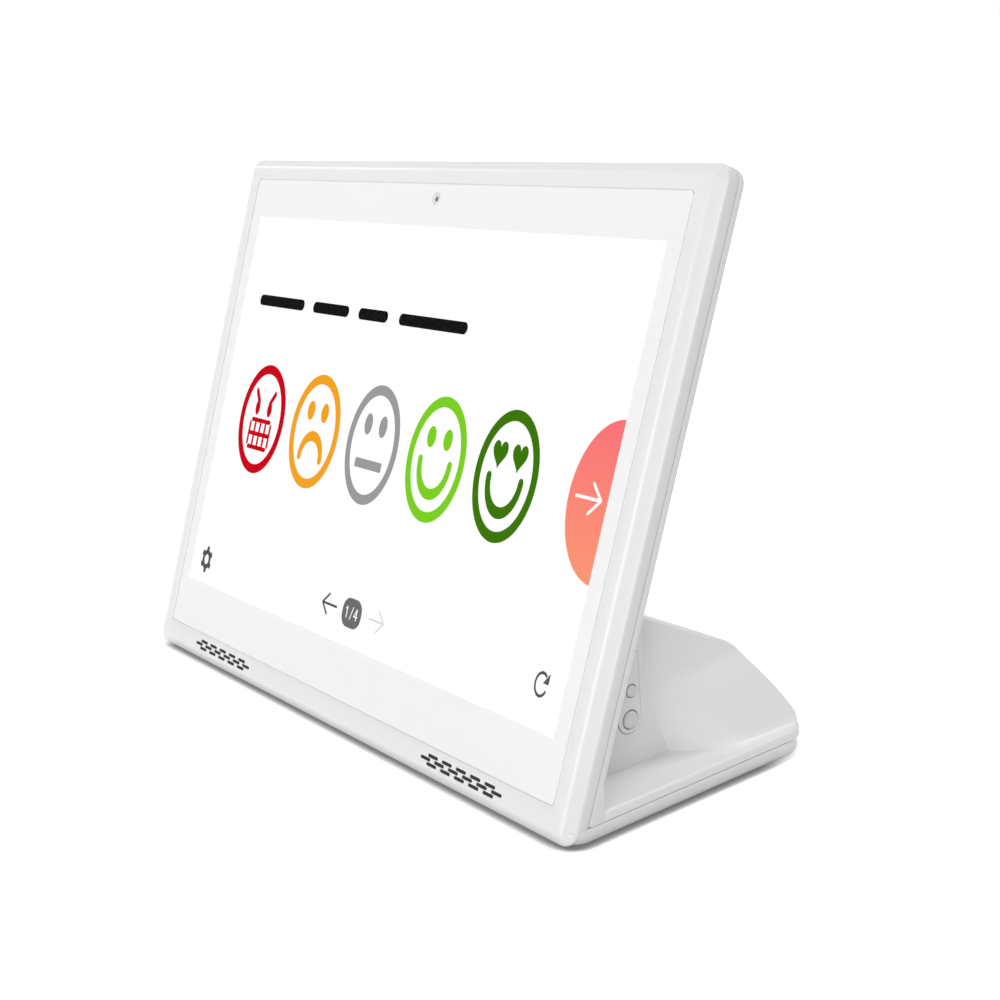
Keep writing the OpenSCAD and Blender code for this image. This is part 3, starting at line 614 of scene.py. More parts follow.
class Bench:
    """Shapes meshes and turns them into pieces that ride on a body.

    Attributes:
        MERGE: corners nearer than this become one, in millimetres.
        SLIVER: edges shorter than this go.
    """

    MERGE = 0.002
    SLIVER = 0.001

    def __init__(self, paint: PaintShop) -> None:
        """Keeps the paint shop."""
        self.paint = paint

    @staticmethod
    def grid(bm: bmesh.types.BMesh, columns: int, rows: int, place: Callable[[int, int], Vector]) -> None:
        """Makes a grid and lays each corner of it where place says, closing what meets.

        Args:
            bm: the mesh.
            columns: steps one way.
            rows: steps the other way.
            place: where the corner of a column and row goes.
        """
        made = bmesh.ops.create_grid(bm, x_segments=columns, y_segments=rows, size=0.5)["verts"]
        for vert in made:
            vert.co = place(round((vert.co.x + 0.5) * columns), round((vert.co.y + 0.5) * rows))
        bmesh.ops.remove_doubles(bm, verts=bm.verts[:], dist=Bench.MERGE)
        bmesh.ops.dissolve_degenerate(bm, edges=bm.edges[:], dist=Bench.SLIVER)

    @staticmethod
    def band(loops: list[Loop], place: Callable[[Vector], Vector], closed: bool) -> bmesh.types.BMesh:
        """Skins a row of loops.

        Args:
            loops: the loops in order.
            place: takes a point of a loop to the row frame.
            closed: whether the last loop joins the first; if not, both ends are filled.

        Returns:
            The mesh, in millimetres.
        """
        rounder = Rounder()
        bm = bmesh.new()
        rows = len(loops) if closed else len(loops) - 1

        def at(column: int, row: int) -> Vector:
            """Where a corner of the skin lies."""
            return place(rounder.point(loops[row % len(loops)], column))

        Bench.grid(bm, len(rounder.stations), rows, at)
        if not closed:
            rims = [edge for edge in bm.edges if edge.is_boundary]
            bmesh.ops.holes_fill(bm, edges=rims, sides=0)
        return bm

    @staticmethod
    def soften(bm: bmesh.types.BMesh, geom: list, offset: float, steps: int, affect: str = "EDGES") -> list:
        """Bevels edges or corners round.

        Args:
            bm: the mesh.
            geom: the edges, or the corners.
            offset: how far the rounding reaches.
            steps: segments in the rounding.
            affect: EDGES, or VERTICES for corners.

        Returns:
            The corners that were made.
        """
        return bmesh.ops.bevel(
            bm, geom=geom, offset=offset, segments=steps, profile=0.5, affect=affect, material=-1
        )["verts"]

    @staticmethod
    def lift(bm: bmesh.types.BMesh, faces: list, by: Vector, keep: bool = False) -> tuple[list, list]:
        """Extrudes faces.

        Args:
            bm: the mesh.
            faces: the faces.
            by: how far they are moved.
            keep: whether the first faces stay too.

        Returns:
            The moved corners and the moved faces.
        """
        grown = bmesh.ops.extrude_face_region(bm, geom=faces, use_keep_orig=keep)["geom"]
        verts = [item for item in grown if isinstance(item, bmesh.types.BMVert)]
        bmesh.ops.translate(bm, verts=verts, vec=by)
        return verts, [item for item in grown if isinstance(item, bmesh.types.BMFace)]

    @staticmethod
    def prism(bm: bmesh.types.BMesh, size: Vector, round_by: float, matrix: Matrix, steps: int = 5) -> None:
        """Adds a block whose outline corners are rounded.

        Args:
            bm: the mesh.
            size: width, height and thickness.
            round_by: radius of the four outline corners.
            matrix: where its middle goes, with the thickness along its third axis.
            steps: segments in each corner.
        """
        made = bmesh.ops.create_grid(bm, x_segments=1, y_segments=1, size=0.5)["verts"]
        for vert in made:
            vert.co = Vector((vert.co.x * size.x, vert.co.y * size.y, -size.z / 2.0))
        face = Bench.soften(bm, made, round_by, steps, "VERTICES")[0].link_faces[0]
        base = face.verts[:]
        risen, _ = Bench.lift(bm, [face], Vector((0.0, 0.0, size.z)))
        bmesh.ops.transform(bm, matrix=matrix, verts=base + risen)

    @staticmethod
    def lathe(bm: bmesh.types.BMesh, outline: Iterable[Spot], matrix: Matrix, steps: int = 40) -> None:
        """Turns an outline of radius and height into a round piece.

        Args:
            bm: the mesh.
            outline: radius and height of each point, along the profile.
            matrix: where the turned piece goes, its axis along the third.
            steps: segments round.
        """
        turned = bmesh.new()
        verts = [turned.verts.new((radius, 0.0, height)) for radius, height in outline]
        edges = [turned.edges.new(pair) for pair in zip(verts, verts[1:])]
        bmesh.ops.spin(
            turned,
            geom=verts + edges,
            cent=(0.0, 0.0, 0.0),
            axis=(0.0, 0.0, 1.0),
            angle=2.0 * math.pi,
            steps=steps,
            use_merge=True,
        )
        bmesh.ops.remove_doubles(turned, verts=turned.verts[:], dist=Bench.MERGE)
        bmesh.ops.transform(turned, matrix=matrix, verts=turned.verts[:])
        spare = bpy.data.meshes.new("turned")
        turned.to_mesh(spare)
        turned.free()
        bm.from_mesh(spare)
        bpy.data.meshes.remove(spare)

    @staticmethod
    def bore(bm: bmesh.types.BMesh, radius: float, ends: Spot, matrix: Matrix, steps: int) -> None:
        """Adds a plain round bar, for cutting a hole.

        Args:
            bm: the mesh.
            radius: its radius.
            ends: where it starts and ends along its axis.
            matrix: where its axis goes.
            steps: segments round.
        """
        low, high = ends
        Bench.lathe(bm, ((0.0, low), (radius, low), (radius, high), (0.0, high)), matrix, steps)

    def piece(
        self,
        bm: bmesh.types.BMesh,
        name: str,
        finish: Finish,
        body: str = "case",
        replaces: Iterable[str] = (),
        turn_out: bool = True,
        sharp: float = SHARP,
    ) -> bpy.types.Object:
        """Turns a worked mesh into a finished piece.

        Args:
            bm: the mesh, in millimetres.
            name: the piece's name.
            finish: its finish.
            body: the body that it rides on.
            replaces: the construction nodes that it stands for.
            turn_out: whether its faces are turned outwards first.
            sharp: the angle in degrees past which an edge is drawn sharp.

        Returns:
            The piece.
        """
        if turn_out:
            bmesh.ops.recalc_face_normals(bm, faces=bm.faces[:])
        bmesh.ops.scale(bm, vec=(MM, MM, MM), verts=bm.verts[:])
        mesh = bpy.data.meshes.new(name)
        bm.to_mesh(mesh)
        bm.free()
        made = bpy.data.objects.new(name, mesh)
        bpy.context.scene.collection.objects.link(made)
        mesh.materials.append(self.paint.material(finish))
        self.shade(made, sharp)
        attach(made, body)
        for node in replaces:
            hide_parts(node)
        LOG.info("piece %s: %d faces", name, len(mesh.polygons))
        return made

    @staticmethod
    def shade(made: bpy.types.Object, sharp: float) -> None:
        """Shades a piece smooth, with its sharp edges kept.

        Args:
            made: the piece.
            sharp: the angle in degrees past which an edge is drawn sharp.
        """
        work = bmesh.new()
        work.from_mesh(made.data)
        limit = math.radians(sharp)
        for face in work.faces:
            face.smooth = True
        for edge in work.edges:
            edge.smooth = len(edge.link_faces) == 2 and edge.calc_face_angle(0.0) < limit
        work.to_mesh(made.data)
        work.free()

    def carve(self, made: bpy.types.Object, cutter: bmesh.types.BMesh, sharp: float = SHARP) -> None:
        """Cuts a tool's shape out of a piece.

        Args:
            made: the piece.
            cutter: the tool, in millimetres; it is used up.
            sharp: the angle in degrees past which an edge is drawn sharp.
        """
        bmesh.ops.recalc_face_normals(cutter, faces=cutter.faces[:])
        bmesh.ops.scale(cutter, vec=(MM, MM, MM), verts=cutter.verts[:])
        mesh = bpy.data.meshes.new("tool")
        cutter.to_mesh(mesh)
        cutter.free()
        tool = bpy.data.objects.new("tool", mesh)
        bpy.context.scene.collection.objects.link(tool)
        cut = made.modifiers.new("cut", "BOOLEAN")
        cut.operation = "DIFFERENCE"
        cut.solver = "EXACT"
        cut.object = tool
        self.apply(made)
        bpy.data.objects.remove(tool)
        bpy.data.meshes.remove(mesh)
        self.shade(made, sharp)

    @staticmethod
    def apply(made: bpy.types.Object) -> None:
        """Makes a piece's modifiers part of its mesh.

        Args:
            made: the piece.
        """
        bpy.context.view_layer.update()
        graph = bpy.context.evaluated_depsgraph_get()
        done = bpy.data.meshes.new_from_object(made.evaluated_get(graph))
        old = made.data
        made.modifiers.clear()
        made.data = done
        bpy.data.meshes.remove(old)
        done.name = made.name


@dataclass
class FrontShell:
    """The bezel and, below the parting line, the tray of the base.

    Attributes:
        lean: the panel's axes.
        half: half the width.
        high: height up the face.
        top_r: radius of the upper corners.
        low_r: radius of the lower corners.
        seam_d: depth of the parting line.
        side_d: a depth on the flat of the sides.
        slope_w: width of the slope between face and sides.
        slope_d: depth where that slope meets the sides.
        top_w: width of the slope along the top.
        ridge_r: rounding where the slope meets the sides, and where it meets the face.
        face_in: how far in the face's first loop lies at the sides, and at the lower edge.
        face_w: a place that is surely on the face.
        low_ridge: height of the ridge over the lower edge.
        low_d: depth where the lower slope meets the underside.
        low_ridge_r: rounding at that edge, and at the ridge.
        lows: depths of the flat underside, from the parting line forward.
        under: level of the underside.
        wall: thickness of the wall.
        wall_d: depth where the wall starts behind the face.
        wall_z: level where it starts over the underside.
        pocket_half: half the width of the glass pocket.
        pocket_low: its lower edge.
        pocket_high: its upper edge.
        pocket_r: radius of its corners.
        pocket_least: least radius of its corners further in.
        pocket: growth and depth of each step of the pocket's section.
        tray_top: level of the tray's upper edge.
        tray_floor: level of its inside.
        tray_in: how far in its floor is left to one face.
        tray_front: how far back its front lies.
        tray_r: radius of its front corners at the top, and what is added lower down.
        foot_r: rounding of its lower edge.
        rear: how far back it reaches.
        rear_r: radius of its rear corners.
        clear: how far it stays inside the solid.
        slot: length, width and thickness of the tool for a slot.
        slot_d: depth of the tool's middle.
        cloth: length, width and thickness of the cloth in a slot.
        cloth_d: depth of the cloth's middle.
        slot_x: middle of a slot group, across.
        slot_v: middle of a slot group, up.
        slot_step: spacing of the slots along a row.
        slot_rows: height and count of each row.
        screws: places of the case screws on one side.
        screw_r: radius of their recesses.
    """

    lean: Lean
    half: float = 124.0
    high: float = 184.0
    top_r: float = 5.2
    low_r: float = 4.5
    seam_d: float = 5.36
    side_d: float = 4.0
    slope_w: float = 4.2
    slope_d: float = 2.0
    top_w: float = 2.9
    ridge_r: Spot = (0.8, 1.1)
    face_in: Spot = (6.6, 5.6)
    face_w: float = 8.0
    low_ridge: float = 3.55
    low_d: float = 1.4
    low_ridge_r: Spot = (0.5, 0.9)
    lows: tuple[float, ...] = (5.36, 5.2, 5.0, 4.2)
    under: float = 0.15
    wall: float = 1.7
    wall_d: float = 2.5
    wall_z: float = 2.5
    pocket_half: float = 114.55
    pocket_low: float = 10.05
    pocket_high: float = 176.45
    pocket_r: float = 1.55
    pocket_least: float = 0.4
    pocket: tuple[Spot, ...] = (
        (0.16, 0.0),
        (0.05, 0.06),
        (0.0, 0.25),
        (-0.02, 0.42),
        (-0.24, 0.44),
        (-0.24, 1.4),
        (-2.5, 1.4),
        (-2.5, 2.4),
    )
    tray_top: float = 4.43
    tray_floor: float = 2.2
    tray_in: float = 12.0
    tray_front: float = 2.4
    tray_r: Spot = (2.4, 3.6)
    foot_r: float = 1.0
    rear: float = 95.0
    rear_r: float = 10.5
    clear: float = 0.02
    slot: tuple[float, float, float] = (5.1, 1.08, 6.0)
    slot_d: float = 1.5
    cloth: tuple[float, float, float] = (5.08, 1.06, 1.9)
    cloth_d: float = 1.25
    slot_x: float = 73.0
    slot_v: float = 6.1
    slot_step: float = 7.0
    slot_rows: tuple[tuple[float, int], ...] = ((-1.3, 5), (0.0, 6), (1.3, 5))
    screws: tuple[Spot, ...] = ((100.0, 12.0), (98.0, 72.0), (40.0, 78.0))
    screw_r: float = 2.7

    def _section(self) -> list[Loop]:
        """The bezel's closed section, from the parting line over the front and back inside.

        Returns:
            The loops in order.
        """
        loops: list[Loop] = []

        def outer(inset: float, depth: float, low: float, low_depth: float) -> None:
            """Adds a loop measured in from the outline.

            Args:
                inset: how far in.
                depth: depth along the sides and top.
                low: the lower edge.
                low_depth: depth along the lower edge.
            """
            corner = max(self.top_r - inset, LEAST_R), max(self.low_r - inset, LEAST_R)
            down = inset * self.top_w / self.slope_w
            loops.append(Loop(self.half - inset, low, self.high - down, *corner, depth, low_depth))

        def flat(depth: float) -> Vector:
            """The lower edge on the underside at a depth."""
            return Vector((self.lean.low(self.under, depth), depth))

        def inner(grow: float, depth: float) -> None:
            """Adds a loop measured out from the glass pocket.

            Args:
                grow: how far out.
                depth: its depth.
            """
            corner = max(self.pocket_r + grow, self.pocket_least)
            half, low, high = self.pocket_half + grow, self.pocket_low - grow, self.pocket_high + grow
            loops.append(Loop(half, low, high, corner, corner, depth, depth))

        rim, ridge = Vector((0.0, self.slope_d)), Vector((self.slope_w, 0.0))
        face, wall = Vector((self.face_w, 0.0)), Vector((0.0, self.side_d))
        sides = [Vector((inset, self.seam_d - drop)) for inset, drop in SEAM_STEPS]
        sides.append(wall)
        sides += rounded(rim, wall, ridge, self.ridge_r[0])
        sides += rounded(ridge, rim, face, self.ridge_r[1])
        sides.append(Vector((self.face_in[0], 0.0)))
        lip, low_ridge = flat(self.low_d), Vector((self.low_ridge, 0.0))
        lows = [flat(depth) for depth in self.lows]
        lows += rounded(lip, lows[-1], low_ridge, self.low_ridge_r[0])
        lows += rounded(low_ridge, lip, face, self.low_ridge_r[1])
        lows.append(Vector((self.face_in[1], 0.0)))
        for side, low in zip(sides, lows):
            outer(side.x, side.y, low.x, low.y)
        for grow, depth in self.pocket:
            inner(grow, depth)
        for depth in (self.wall_d, self.seam_d):
            outer(self.wall, depth, self.lean.low(self.wall_z, depth), depth)
        return loops

    def _slots(self, size: tuple[float, float, float], depth: float) -> bmesh.types.BMesh:
        """One bar for each slot of the two speaker groups.

        Args:
            size: length, width and thickness of a bar.
            depth: depth of its middle.

        Returns:
            The mesh of all the bars.
        """
        tool = bmesh.new()
        bar = Vector(size)
        for side in SIDES:
            for row, count in self.slot_rows:
                for index in range(count):
                    across = side * self.slot_x + (index - (count - 1) / 2.0) * self.slot_step
                    place = self.lean.matrix(depth) @ Matrix.Translation((across, self.slot_v + row, 0.0))
                    Bench.prism(tool, bar, bar.y * 0.48, place, 4)
        return tool

    def build(self, bench: Bench) -> None:
        """Builds the bezel and the tray.

        Args:
            bench: the bench that finishes the pieces.
        """
        bm = Bench.band(self._section(), lambda spot: self.lean.at(*spot), True)
        bezel = bench.piece(bm, "bezel", WHITE_BEZEL_PAINTED_SHADE, replaces=("front_shell",))
        bench.carve(bezel, self._slots(self.slot, self.slot_d))
        cloth = self._slots(self.cloth, self.cloth_d)
        bench.piece(cloth, "slot_cloth", CAD_FINISHES["mesh_black"])
        self._tray(bench)

    def _tray(self, bench: Bench) -> None:
        """Builds the tray of the base below the parting line.

        Args:
            bench: the bench that finishes the piece.
        """
        low = self.under + self.clear
        front, rear = self.tray_front - self.lean.shift, self.rear - self.clear - self.lean.shift
        least, more = self.tray_r
        loops: list[Loop] = []

        def add(inset: float, z: float) -> None:
            """Adds a level, with rounder front corners lower down.

            Args:
                inset: how far in from the outline.
                z: the level.
            """
            rise = min((z - low) / (self.tray_top - low), 1.0)
            front_r = least + more * (1.0 - rise) ** 2
            corner = max(self.rear_r - inset, LEAST_R), max(front_r - inset, LEAST_R)
            loops.append(Loop(self.half - self.clear - inset, front + inset, rear - inset, *corner, z, z))

        add(self.tray_in, low)
        for step in range(7):
            angle = QUARTER * step / 6.0
            rise = self.foot_r * math.cos(angle)
            add(self.foot_r - self.foot_r * math.sin(angle), low + self.foot_r - rise)
        for inset, drop in ((0.0, 1.2), *reversed(SEAM_STEPS), (self.wall, 0.0)):
            add(inset, self.tray_top - drop)
        add(self.wall, self.tray_floor)
        add(self.tray_in, self.tray_floor)
        bm = Bench.band(loops, lambda spot: spot, False)
        tray = bench.piece(bm, "base_tray", WHITE_SHELL, replaces=("front_shell",))
        tool = bmesh.new()
        for x, y in self.screws:
            for side in SIDES:
                place = Matrix.Translation((side * x, y - self.lean.shift, 1.5))
                Bench.bore(tool, self.screw_r, (-2.0, 2.5), place, 28)
        bench.carve(tray, tool)


@dataclass
class RearCover:
    """The back of the panel and the hump with its flared shoulders and shelves.

    Attributes:
        lean: the panel's axes.
        half: half the width.
        high: height up the face.
        top_r: radius of the panel's upper corners.
        low_r: radius of the panel's lower corners.
        low_in: share of an inset by which the back's lower edge rises.
        seam_d: depth of the parting line.
        seam_r: rounding along the parting line.
        lip_d: depth that the lip inside the parting line reaches forward to.
        lip_in: how far in the lip's two sides lie.
        back_d: depth of the panel's back.
        back_r: rounding of the back's edge.
        pan_d: depth of the back's inner side.
        pan_in: how far in the back is left to one face.
        seam_z: level of the parting line on the base.
        shelf_z: level of the shelves.
        rim_z: level of the shelf's edge.
        low_rows: levels of the rows up to the shelf.
        rows: rows above the shelf.
        knee_z: level where the flare's foot turns upright.
        crease_z: level where the flank meets the hump.
        wall_x: how far out the pocket wall lies.
        hump_x: how far out the hump's upper edge lies.
        plan_r: radius of the rear corners.
        edge_r: rounding of the shelf's edge.
        clear: how far the skin stays inside the solid.
        depth: how far back the skin reaches.
        foot_y: where the flare starts at the shelf.
        foot_lean: how fast its foot moves forward with height, below the knee.
        foot_rise: the same above the knee.
        brow: slope of the flank next to the crease.
        flank: how far out and down the lower flank starts, and its slope.
        blend: rounding between brow and flank, and at the crease.
        reach: run of the flare for its width, and the least run.
        fill: largest fillet over the shelf, and the run in which it grows.
        rim_room: room kept between that fillet and the edge, and the rounding there.
        crest_r: rounding of the hump's upper edge.
        crest_rate: how fast that rounding is passed with height.
        sharp: angle, in degrees, over which an edge is shaded sharp.
        wall: thickness of the wall.
        hump_d: depth in the panel where the hump ends.
        web_y: how far back the webs reach.
        web_x: where the webs start, across.
        web_z: lower and upper level of the webs.
        web_bend: levels between which a web's rear leans in.
        web_lean: how far it leans in between them.
        web_d: depths in the panel that the webs reach to.
        web_clear: how far they stay inside the solid.
        web_r: rounding of their edge.
        knots: places and levels along the hump's profile at the rear.
        top_slope: slope of the hump's top.
        holes: place and radius of each round hole.
        usb: place of the service port.
        usb_size: the tool for its opening.
        usb_r: radius of that opening's corners.
        meet: where the hump's top meets the flare's foot, found while building.
        path: the columns of the hump, found while building.
    """

    lean: Lean
    half: float = 124.0
    high: float = 184.0
    top_r: float = 5.2
    low_r: float = 1.0
    low_in: float = 0.2
    seam_d: float = 5.62
    seam_r: float = 0.2
    lip_d: float = 4.6
    lip_in: Spot = (1.8, 2.5)
    back_d: float = 8.4
    back_r: float = 1.4
    pan_d: float = 6.3
    pan_in: float = 8.0
    seam_z: float = 4.57
    shelf_z: float = 7.6
    rim_z: float = 7.45
    low_rows: tuple[float, ...] = (4.57, 4.62, 4.77, 5.4, 6.0, 6.55, 6.65, 6.81, 7.01, 7.2, 7.35, 7.43, 7.45)
    rows: int = 48
    knee_z: float = 24.2
    crease_z: float = 31.0
    wall_x: float = 108.0
    hump_x: float = 109.0
    plan_r: float = 8.4
    edge_r: float = 0.9
    clear: float = 0.02
    depth: float = 94.98
    foot_y: float = 52.4
    foot_lean: float = 0.41
    foot_rise: float = 0.06
    brow: float = 0.8
    flank: tuple[float, float, float] = (3.0, 4.0, 0.425)
    blend: Spot = (2.0, 1.5)
    reach: Spot = (2.6, 1.6)
    fill: Spot = (6.0, 20.0)
    rim_room: Spot = (0.3, 0.6)
    crest_r: float = 1.4
    crest_rate: float = 0.85
    sharp: float = 24.0
    wall: float = 1.7
    hump_d: float = 7.0
    web_y: float = 14.2
    web_x: float = 106.6
    web_z: Spot = (4.62, 15.4)
    web_bend: Spot = (13.8, 14.5)
    web_lean: float = 0.2
    web_d: Spot = (6.6, 7.9)
    web_clear: float = 0.015
    web_r: float = 0.4
    knots: tuple[Spot, ...] = (
        (94.98, 4.57),
        (94.98, 6.6),
        (94.2, 9.5),
        (93.0, 12.4),
        (90.2, 17.6),
        (86.6, 23.0),
        (83.0, 28.0),
        (80.9, 31.3),
        (78.9, 33.5),
        (75.6, 35.6),
    )
    top_slope: float = math.tan(math.radians(27.4))
    holes: tuple[tuple[float, float, float, float], ...] = (
        (107.0, 37.9, 22.3, 3.0),
        (107.0, 38.7, 30.8, 2.1),
        (-107.0, 24.9947, 16.1, 4.2),
    )
    usb: tuple[float, float, float] = (-107.0, 38.5947, 13.1)
    usb_size: tuple[float, float, float] = (6.4, 13.8, 6.0)
    usb_r: float = 0.6
    meet: float = 0.0
    path: list[tuple[float, float, float]] = field(default_factory=list)

    def _pan(self, bench: Bench) -> None:
        """Builds the back of the panel.

        Args:
            bench: the bench that finishes the piece.
        """
        loops: list[Loop] = []

        def add(inset: float, depth: float) -> None:
            """Adds a loop measured in from the outline.

            Args:
                inset: how far in.
                depth: its depth.
            """
            low = self.lean.low(self.seam_z, depth) + inset * self.low_in
            top_r = max(self.top_r - inset, LEAST_R)
            loops.append(Loop(self.half - inset, low, self.high - inset, top_r, self.low_r, depth, depth))

        outer, inner = self.lip_in
        add(self.pan_in, self.pan_d)
        add(inner, self.pan_d)
        add(inner, self.lip_d)
        add(outer, self.lip_d)
        add(outer, self.seam_d)
        for inset, drop in SEAM_STEPS:
            add(inset, self.seam_d + drop)
        for step in range(7):
            angle = QUARTER * step / 6.0
            depth = self.back_d - self.back_r + self.back_r * math.sin(angle)
            add(self.back_r - self.back_r * math.cos(angle), depth)
        add(self.pan_in, self.back_d)
        bm = Bench.band(loops, lambda spot: self.lean.at(*spot), False)
        bench.piece(bm, "panel_back", WHITE_BEZEL_PAINTED_SHADE, replaces=("rear_cover",))

    def _foot(self, z: float) -> float:
        """The y where the flare starts on the pocket wall at level z."""
        low = min(z, self.knee_z) - self.shelf_z
        return self.foot_y - low * self.foot_lean - max(z - self.knee_z, 0.0) * self.foot_rise

    def _over(self, y: float) -> float:
        """The level of the hump's top at y."""
        rear_y, rear_z = self.knots[-1]
        return rear_z + (rear_y - y) * self.top_slope

    def _rear(self, steps: int = 5) -> list[Spot]:
        """Runs a smooth curve through the knots.

        Args:
            steps: points between two knots.

        Returns:
            Places and levels up the hump's rear.
        """
        knots = self.knots
        tops: list[Spot] = [knots[0]]
        end_y = knots[-1][0] - 3.0
        chain = (*knots, (end_y, self._over(end_y)))
        for index in range(len(knots) - 1):
            before, here, after, last = (chain[max(index - 1, 0)], *chain[index : index + 3])
            for step in range(1, steps + 1):
                t = step / steps
                bend = (
                    t * (t * (2.0 - t) - 1.0) / 2.0,
                    (t * t * (3.0 * t - 5.0) + 2.0) / 2.0,
                    t * (t * (4.0 - 3.0 * t) + 1.0) / 2.0,
                    t * t * (t - 1.0) / 2.0,
                )
                spots = zip(before, here, after, last)
                y, z = (sum(part * at for part, at in zip(bend, spot)) for spot in spots)
                tops.append((min(y, self.depth), z))
        return tops

    def _lay_path(self) -> None:
        """Lays out the columns, each a top point and a foot, from the rear edge to the panel."""
        tops = self._rear()
        rear_y = self.knots[-1][0]
        hunt = 0.01
        meet = rear_y
        while meet > self._foot(self._over(meet)):
            meet -= hunt
        self.meet = meet
        join = meet
        while self.lean.behind(self.hump_d, self._over(join)) < join:
            join -= hunt
        for start, end, count in ((rear_y, meet, 30), (meet, join, 8)):
            for step in range(1, count + 1):
                y = start + (end - start) * step / count
                tops.append((y, self._over(y)))
        top_z = self._over(join)
        for step in range(1, 15):
            z = top_z + (self.seam_z - top_z) * step / 14.0
            tops.append((self.lean.behind(self.hump_d, z), z))
        front = tops[-1][0]
        start = self.depth - self.plan_r
        for y, z in tops:
            if y >= start:
                foot = y
            elif y >= meet:
                foot = start + (self.foot_y - start) * (start - y) / (start - meet)
            else:
                foot = front + (self.foot_y - front) * (y - front) / (meet - front)
            self.path.append((y, z, foot))

    def _levels(self) -> list[tuple[float, bool]]:
        """The rows of a flank: fixed levels up to the shelf, then shares of the rise above it.

        Returns:
            A level and False, or a share of the rise and True, for each row.
        """
        levels: list[tuple[float, bool]] = [(level, False) for level in self.low_rows]
        for step in range(self.rows + 1):
            share = step / self.rows
            levels.append((0.7 * share + 0.3 * share * share * (1.6 - 0.6 * share), True))
        return levels

    def _skirt(self, z: float) -> float:
        """How far out the flared flank lies, well behind the pocket.

        Args:
            z: level.

        Returns:
            The distance from the middle.
        """
        out, down, slope = self.flank
        soft, crease = self.blend
        brow = self.hump_x + (self.crease_z - z) * self.brow
        flank = self.hump_x + out + (self.crease_z - down - z) * slope
        return soft_max(self.hump_x, -soft_max(-brow, -flank, soft), crease)

    def _swell(self, y: float, z: float) -> float:
        """How far the flare has come.

        Args:
            y: distance behind the front edge.
            z: level.

        Returns:
            A share, from 0 on the pocket's edge to 1.
        """
        run, least = self.reach
        reach = max(run * (self._skirt(z) - self.wall_x), least)
        share = min(max((y - self._foot(z)) / reach, 0.0), 1.0)
        return 1.0 - (1.0 - share) ** 2

    def _side(self, y: float, z: float, outside: bool) -> float:
        """How far out a flank lies.

        Args:
            y: distance behind the front edge.
            z: level.
            outside: whether the point is on the base's own edge, at or below the shelf.

        Returns:
            The distance from the middle.
        """
        rim = self.half - self.clear - self.edge_r
        if outside:
            over = max(z - (self.rim_z - self.edge_r), 0.0)
            seam = max(self.seam_z + self.seam_r - z, 0.0)
            edge = rim + math.sqrt(max(self.edge_r**2 - over * over, 0.0))
            edge -= self.seam_r - math.sqrt(max(self.seam_r**2 - seam * seam, 0.0))
            return self._plan(y) - (self.half - edge)
        largest, run = self.fill
        room, soft = self.rim_room
        start = self.wall_x + (self._skirt(self.shelf_z) - self.wall_x) * self._swell(y, self.shelf_z)
        radius = min(largest * ease((y - self.foot_y) / run), max(rim - room - start, 0.0))
        rise = max(z - self.shelf_z, 0.0)
        fill = 0.0
        if rise < radius:
            fill = radius - math.sqrt(radius * radius - (radius - rise) ** 2)
        flank = self.wall_x + (self._skirt(z) - self.wall_x) * self._swell(y, z) + fill
        return -soft_max(-flank, self.half - rim - self._plan(y), soft)

    def _plan(self, y: float) -> float:
        """The half-width of the base's outline.

        Args:
            y: distance behind the front edge.

        Returns:
            The half-width there.
        """
        past = y - (self.depth - self.plan_r)
        if past <= 0.0:
            return self.half
        return self.half - self.plan_r + math.sqrt(max(self.plan_r**2 - past * past, 0.0))

    def _place(self, column: int, row: int, levels: list[tuple[float, bool]]) -> Vector:
        """Where a corner of the hump's skin lies.

        Args:
            column: along the profile, from the rear.
            row: up the right flank, over the top and down the left one.
            levels: the rows of one flank.

        Returns:
            The point in the row frame.
        """
        count = len(levels)
        left = row >= count
        level, rising = levels[2 * count - 1 - row if left else row]
        top_y, top_z, foot = self.path[column]
        z = min(level, top_z)
        if rising:
            z = self.shelf_z + (top_z - self.shelf_z) * level if top_z > self.shelf_z else top_z
        share = 0.0
        if z > self.shelf_z:
            if top_z > self.knee_z:
                first = min((z - self.shelf_z) / (self.knee_z - self.shelf_z), 1.0)
                last = max(z - self.knee_z, 0.0) / (top_z - self.knee_z)
                knee = (self.foot_y - self._foot(self.knee_z)) / (self.foot_y - self.meet)
                share = knee * first + (1.0 - knee) * last
            else:
                share = (z - self.shelf_z) / (top_z - self.shelf_z)
        y = foot + (top_y - foot) * share
        x = self._side(y, z, not rising or top_z <= self.shelf_z)
        soft = self.crest_r
        below = (top_z - z) * self.crest_rate
        if top_z > self.shelf_z and below < soft:
            x -= soft - math.sqrt(max(soft * soft - (soft - below) ** 2, 0.0))
        return Vector((-x if left else x, y - self.lean.shift, z))

    def build(self, bench: Bench) -> None:
        """Builds the panel's back and the hump.

        Args:
            bench: the bench that finishes the pieces.
        """
        self._pan(bench)
        self._lay_path()
        levels = self._levels()
        bm = bmesh.new()
        Bench.grid(
            bm,
            len(self.path) - 1,
            2 * len(levels) - 1,
            lambda column, row: self._place(column, row, levels),
        )
        bmesh.ops.recalc_face_normals(bm, faces=bm.faces[:])
        crown = max(bm.faces, key=lambda face: face.calc_area())
        if crown.normal.z < 0.0:
            bmesh.ops.reverse_faces(bm, faces=bm.faces[:])
        hump = bench.piece(
            bm,
            "hump_cover",
            WHITE_COVER_PAINTED_LIGHT,
            replaces=("rear_cover",),
            turn_out=False,
            sharp=self.sharp,
        )
        thick = hump.modifiers.new("wall", "SOLIDIFY")
        thick.thickness = self.wall * MM
        thick.offset = -1.0
        Bench.apply(hump)
        bench.carve(hump, self._ports(), self.sharp)
        self._webs(bench)

